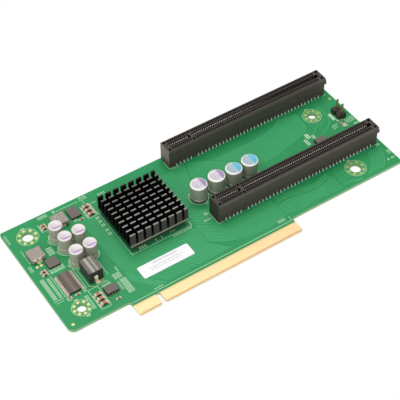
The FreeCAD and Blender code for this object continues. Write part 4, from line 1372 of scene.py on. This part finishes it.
class RISER_OT_small_parts(bpy.types.Operator):
    """Set the ceramic capacitors, chip resistors and the indicator lamp"""

    bl_idname = "riser.small_parts"
    bl_label = "Small parts"

    def execute(self, context):
        tin = tin_finish()
        pads = Surface()
        bodies, caps = Surface(), Surface()
        for group in CERAMICS:
            chip_shapes(bodies, caps, pads, *group)
        look = Finish("brown_ceramic")
        grain = look.noise(0.3)
        up = look.normal()[2]
        # Painted shade: the sides are dark brown, the top has the ceramic's colour.
        colour = look.mix(up > 0.7, paint(84, 50, 36), tint("ceramic"))
        material = look.done(look.mix(grain * 0.4, colour, paint(104, 76, 54)), 0.5 + grain * 0.15)
        piece(
            "ceramic_bodies", bodies, material, ("ceramic_capacitor_bodies",), bevel=0.06
        )
        piece("ceramic_ends", caps, tin, ("ceramic_capacitor_end_caps",), bevel=0.1)
        bodies, caps = Surface(), Surface()
        chip_shapes(bodies, caps, pads, *RESISTORS)
        material = plain_finish("resistor_ceramic", paint(150, 112, 98), 0.5)
        piece(
            "resistor_bodies", bodies, material, ("chip_resistor_bodies",), bevel=0.04
        )
        piece("resistor_ends", caps, tin, ("chip_resistor_end_caps",), bevel=0.06)
        add_plates(pads, spots(LAMP_PADS), ((2.6, 1.1), (3.0, 0.8)), height(-SUNK), height(0.05))
        piece("solder_pads", pads, tin)
        dress(plain_finish("lamp_resin", paint(226, 222, 206), 0.4), "lamp_base")
        look = Finish("clear_resin")
        cloud = look.noise(0.5, 2.0)
        lens = look.mix(cloud, paint(238, 232, 210), paint(214, 206, 178))
        low, high = corners("lamp_lens")
        lens = look.mix(look.position()[1] > (low[1] + high[1]) / 2, lens, paint(96, 70, 54))
        dress(look.done(lens, 0.15 + cloud * 0.1, Coat_Weight=0.6), "lamp_lens")
        return {"FINISHED"}


# The header's pins: distance from the board's right end, and their places across it.
PINS_FROM_RIGHT, PINS = 4.9, (39.25, 43.05)


class RISER_OT_header(bpy.types.Operator):
    """Finish the two-pin header and solder its pins"""

    bl_idname = "riser.header"
    bl_label = "Header"

    def execute(self, context):
        dress(plain_finish("header_moulding", paint(44, 38, 34), 0.5), "header_body")
        dress(plain_finish("dull_gold", paint(158, 150, 96), 0.4, metallic=0.5), "header_pins")
        joints = Surface()
        places = [(BOARD_HIGH[0] - PINS_FROM_RIGHT, at_v(v)) for v in PINS]
        add_turnings(joints, places, ((0.58, 0.25), (0.62, 0.4), (0.8, 0.85), (1.1, UNDER + SUNK)), 24)
        piece("header_joints", joints, tin_finish(), smooth=50)
        return {"FINISHED"}


# ------------------------------------------------------------------ stage
# In metres, and the lamps' power in watts: name, place, side and power of each.
LAMPS = (
    ("key", (0.1, 0.32, 1.15), 0.8, 7.5), ("fill", (-0.9, -0.6, 0.7), 0.8, 3.6),
    ("side", (-1.1, 0.4, 0.38), 0.25, 1.2),
)
SKY = 0.5
FLOOR_REACH, FLOOR_GAP = 3.0, 0.0002
CAMERA_PLACE = Vector((-0.205986, -0.309609, 0.411845))
CAMERA_AIM = Vector((-0.003242, 0.003877, 0.0028))
CAMERA_ROLL, LENS = -0.81, 110.3


class RISER_OT_stage(bpy.types.Operator):
    """White floor, soft light and the camera"""

    bl_idname = "riser.stage"
    bl_label = "Stage"

    def execute(self, context):
        scene = context.scene
        scene.view_settings.view_transform = "Standard"
        far = FLOOR_REACH
        square = lifted(((-far, -far), (far, -far), (far, far), (-far, far)), -FLOOR_GAP)
        mesh = bpy.data.meshes.new("floor")
        mesh.from_pydata(square.tolist(), [], [(0, 1, 2, 3)])
        floor = bpy.data.objects.new("floor", mesh)
        scene.collection.objects.link(floor)
        look = Finish("floor_white")
        diffuse = look.node("ShaderNodeBsdfDiffuse", None, {"Color": (0.86, 0.86, 0.86, 1)})
        white = look.node("ShaderNodeEmission", None, {"Color": (1, 1, 1, 1), "Strength": 1.0})
        seen = look.rays("Camera", "Glossy", "Transmission")
        seen = look.node("ShaderNodeMath", {"operation": "MINIMUM"}, {0: seen, 1: 1.0})
        mixed = look.node("ShaderNodeMixShader", None, {0: seen, 1: diffuse, 2: white})
        look.node("ShaderNodeOutputMaterial", None, {"Surface": mixed})
        mesh.materials.append(look.material)

        scene.world = bpy.data.worlds.new("studio")
        sky = Finish("studio", scene.world)
        strength = SKY + sky.rays("Camera", "Transmission") * (1 - SKY)
        background = sky.node("ShaderNodeBackground", None, {"Color": (1, 1, 1, 1), "Strength": strength})
        sky.node("ShaderNodeOutputWorld", None, {"Surface": background})

        for name, place, wide, power in LAMPS:
            lamp = bpy.data.lights.new(name, "AREA")
            lamp.shape = "SQUARE"
            lamp.size = wide
            lamp.energy = power
            holder = bpy.data.objects.new(name, lamp)
            holder.location = place
            holder.rotation_euler = (-Vector(place)).to_track_quat("-Z", "Y").to_euler()
            scene.collection.objects.link(holder)

        lens = bpy.data.cameras.new("camera")
        lens.lens = LENS
        lens.sensor_width = 36.0
        lens.clip_start = 0.01
        camera = bpy.data.objects.new("camera", lens)
        turn = (CAMERA_AIM - CAMERA_PLACE).to_track_quat("-Z", "Y")
        camera.location = CAMERA_PLACE
        camera.rotation_mode = "QUATERNION"
        camera.rotation_quaternion = turn @ Quaternion((0, 0, 1), math.radians(CAMERA_ROLL))
        scene.collection.objects.link(camera)
        scene.camera = camera
        return {"FINISHED"}


# ------------------------------------------------------------------ panel and start
OPERATORS = (
    RISER_OT_board, RISER_OT_gold, RISER_OT_print, RISER_OT_label, RISER_OT_slots, RISER_OT_sink,
    RISER_OT_cans, RISER_OT_inductors, RISER_OT_chips, RISER_OT_small_parts, RISER_OT_header,
    RISER_OT_stage,
)


class RISER_PT_panel(bpy.types.Panel):
    """Lists the card's pieces, colours and sizes"""

    bl_label = "Riser card"
    bl_idname = "RISER_PT_panel"
    bl_space_type = "VIEW_3D"
    bl_region_type = "UI"
    bl_category = "Riser card"

    def draw(self, context):
        layout = self.layout
        for operator in OPERATORS:
            layout.operator(operator.bl_idname)
        for group in (context.scene.card_sizes, context.scene.card_colours):
            for name in group.__annotations__:
                layout.prop(group, name)


CLASSES = (CardColours, CardSizes, *OPERATORS, RISER_PT_panel)


def register():
    """Registers the classes and the settings."""
    for item in CLASSES:
        bpy.utils.register_class(item)
    bpy.types.Scene.card_colours = bpy.props.PointerProperty(type=CardColours)
    bpy.types.Scene.card_sizes = bpy.props.PointerProperty(type=CardSizes)


def unregister():
    """Takes the settings and the classes away."""
    del bpy.types.Scene.card_sizes
    del bpy.types.Scene.card_colours
    for item in reversed(CLASSES):
        bpy.utils.unregister_class(item)


def main():
    """Builds every piece."""
    register()
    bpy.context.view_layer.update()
    bpy.ops.riser.board()
    bpy.ops.riser.gold()
    bpy.ops.riser.print()
    bpy.ops.riser.label()
    bpy.ops.riser.slots()
    bpy.ops.riser.sink()
    bpy.ops.riser.cans()
    bpy.ops.riser.inductors()
    bpy.ops.riser.chips()
    bpy.ops.riser.small_parts()
    bpy.ops.riser.header()
    bpy.ops.riser.stage()


if __name__ == "__main__":
    main()
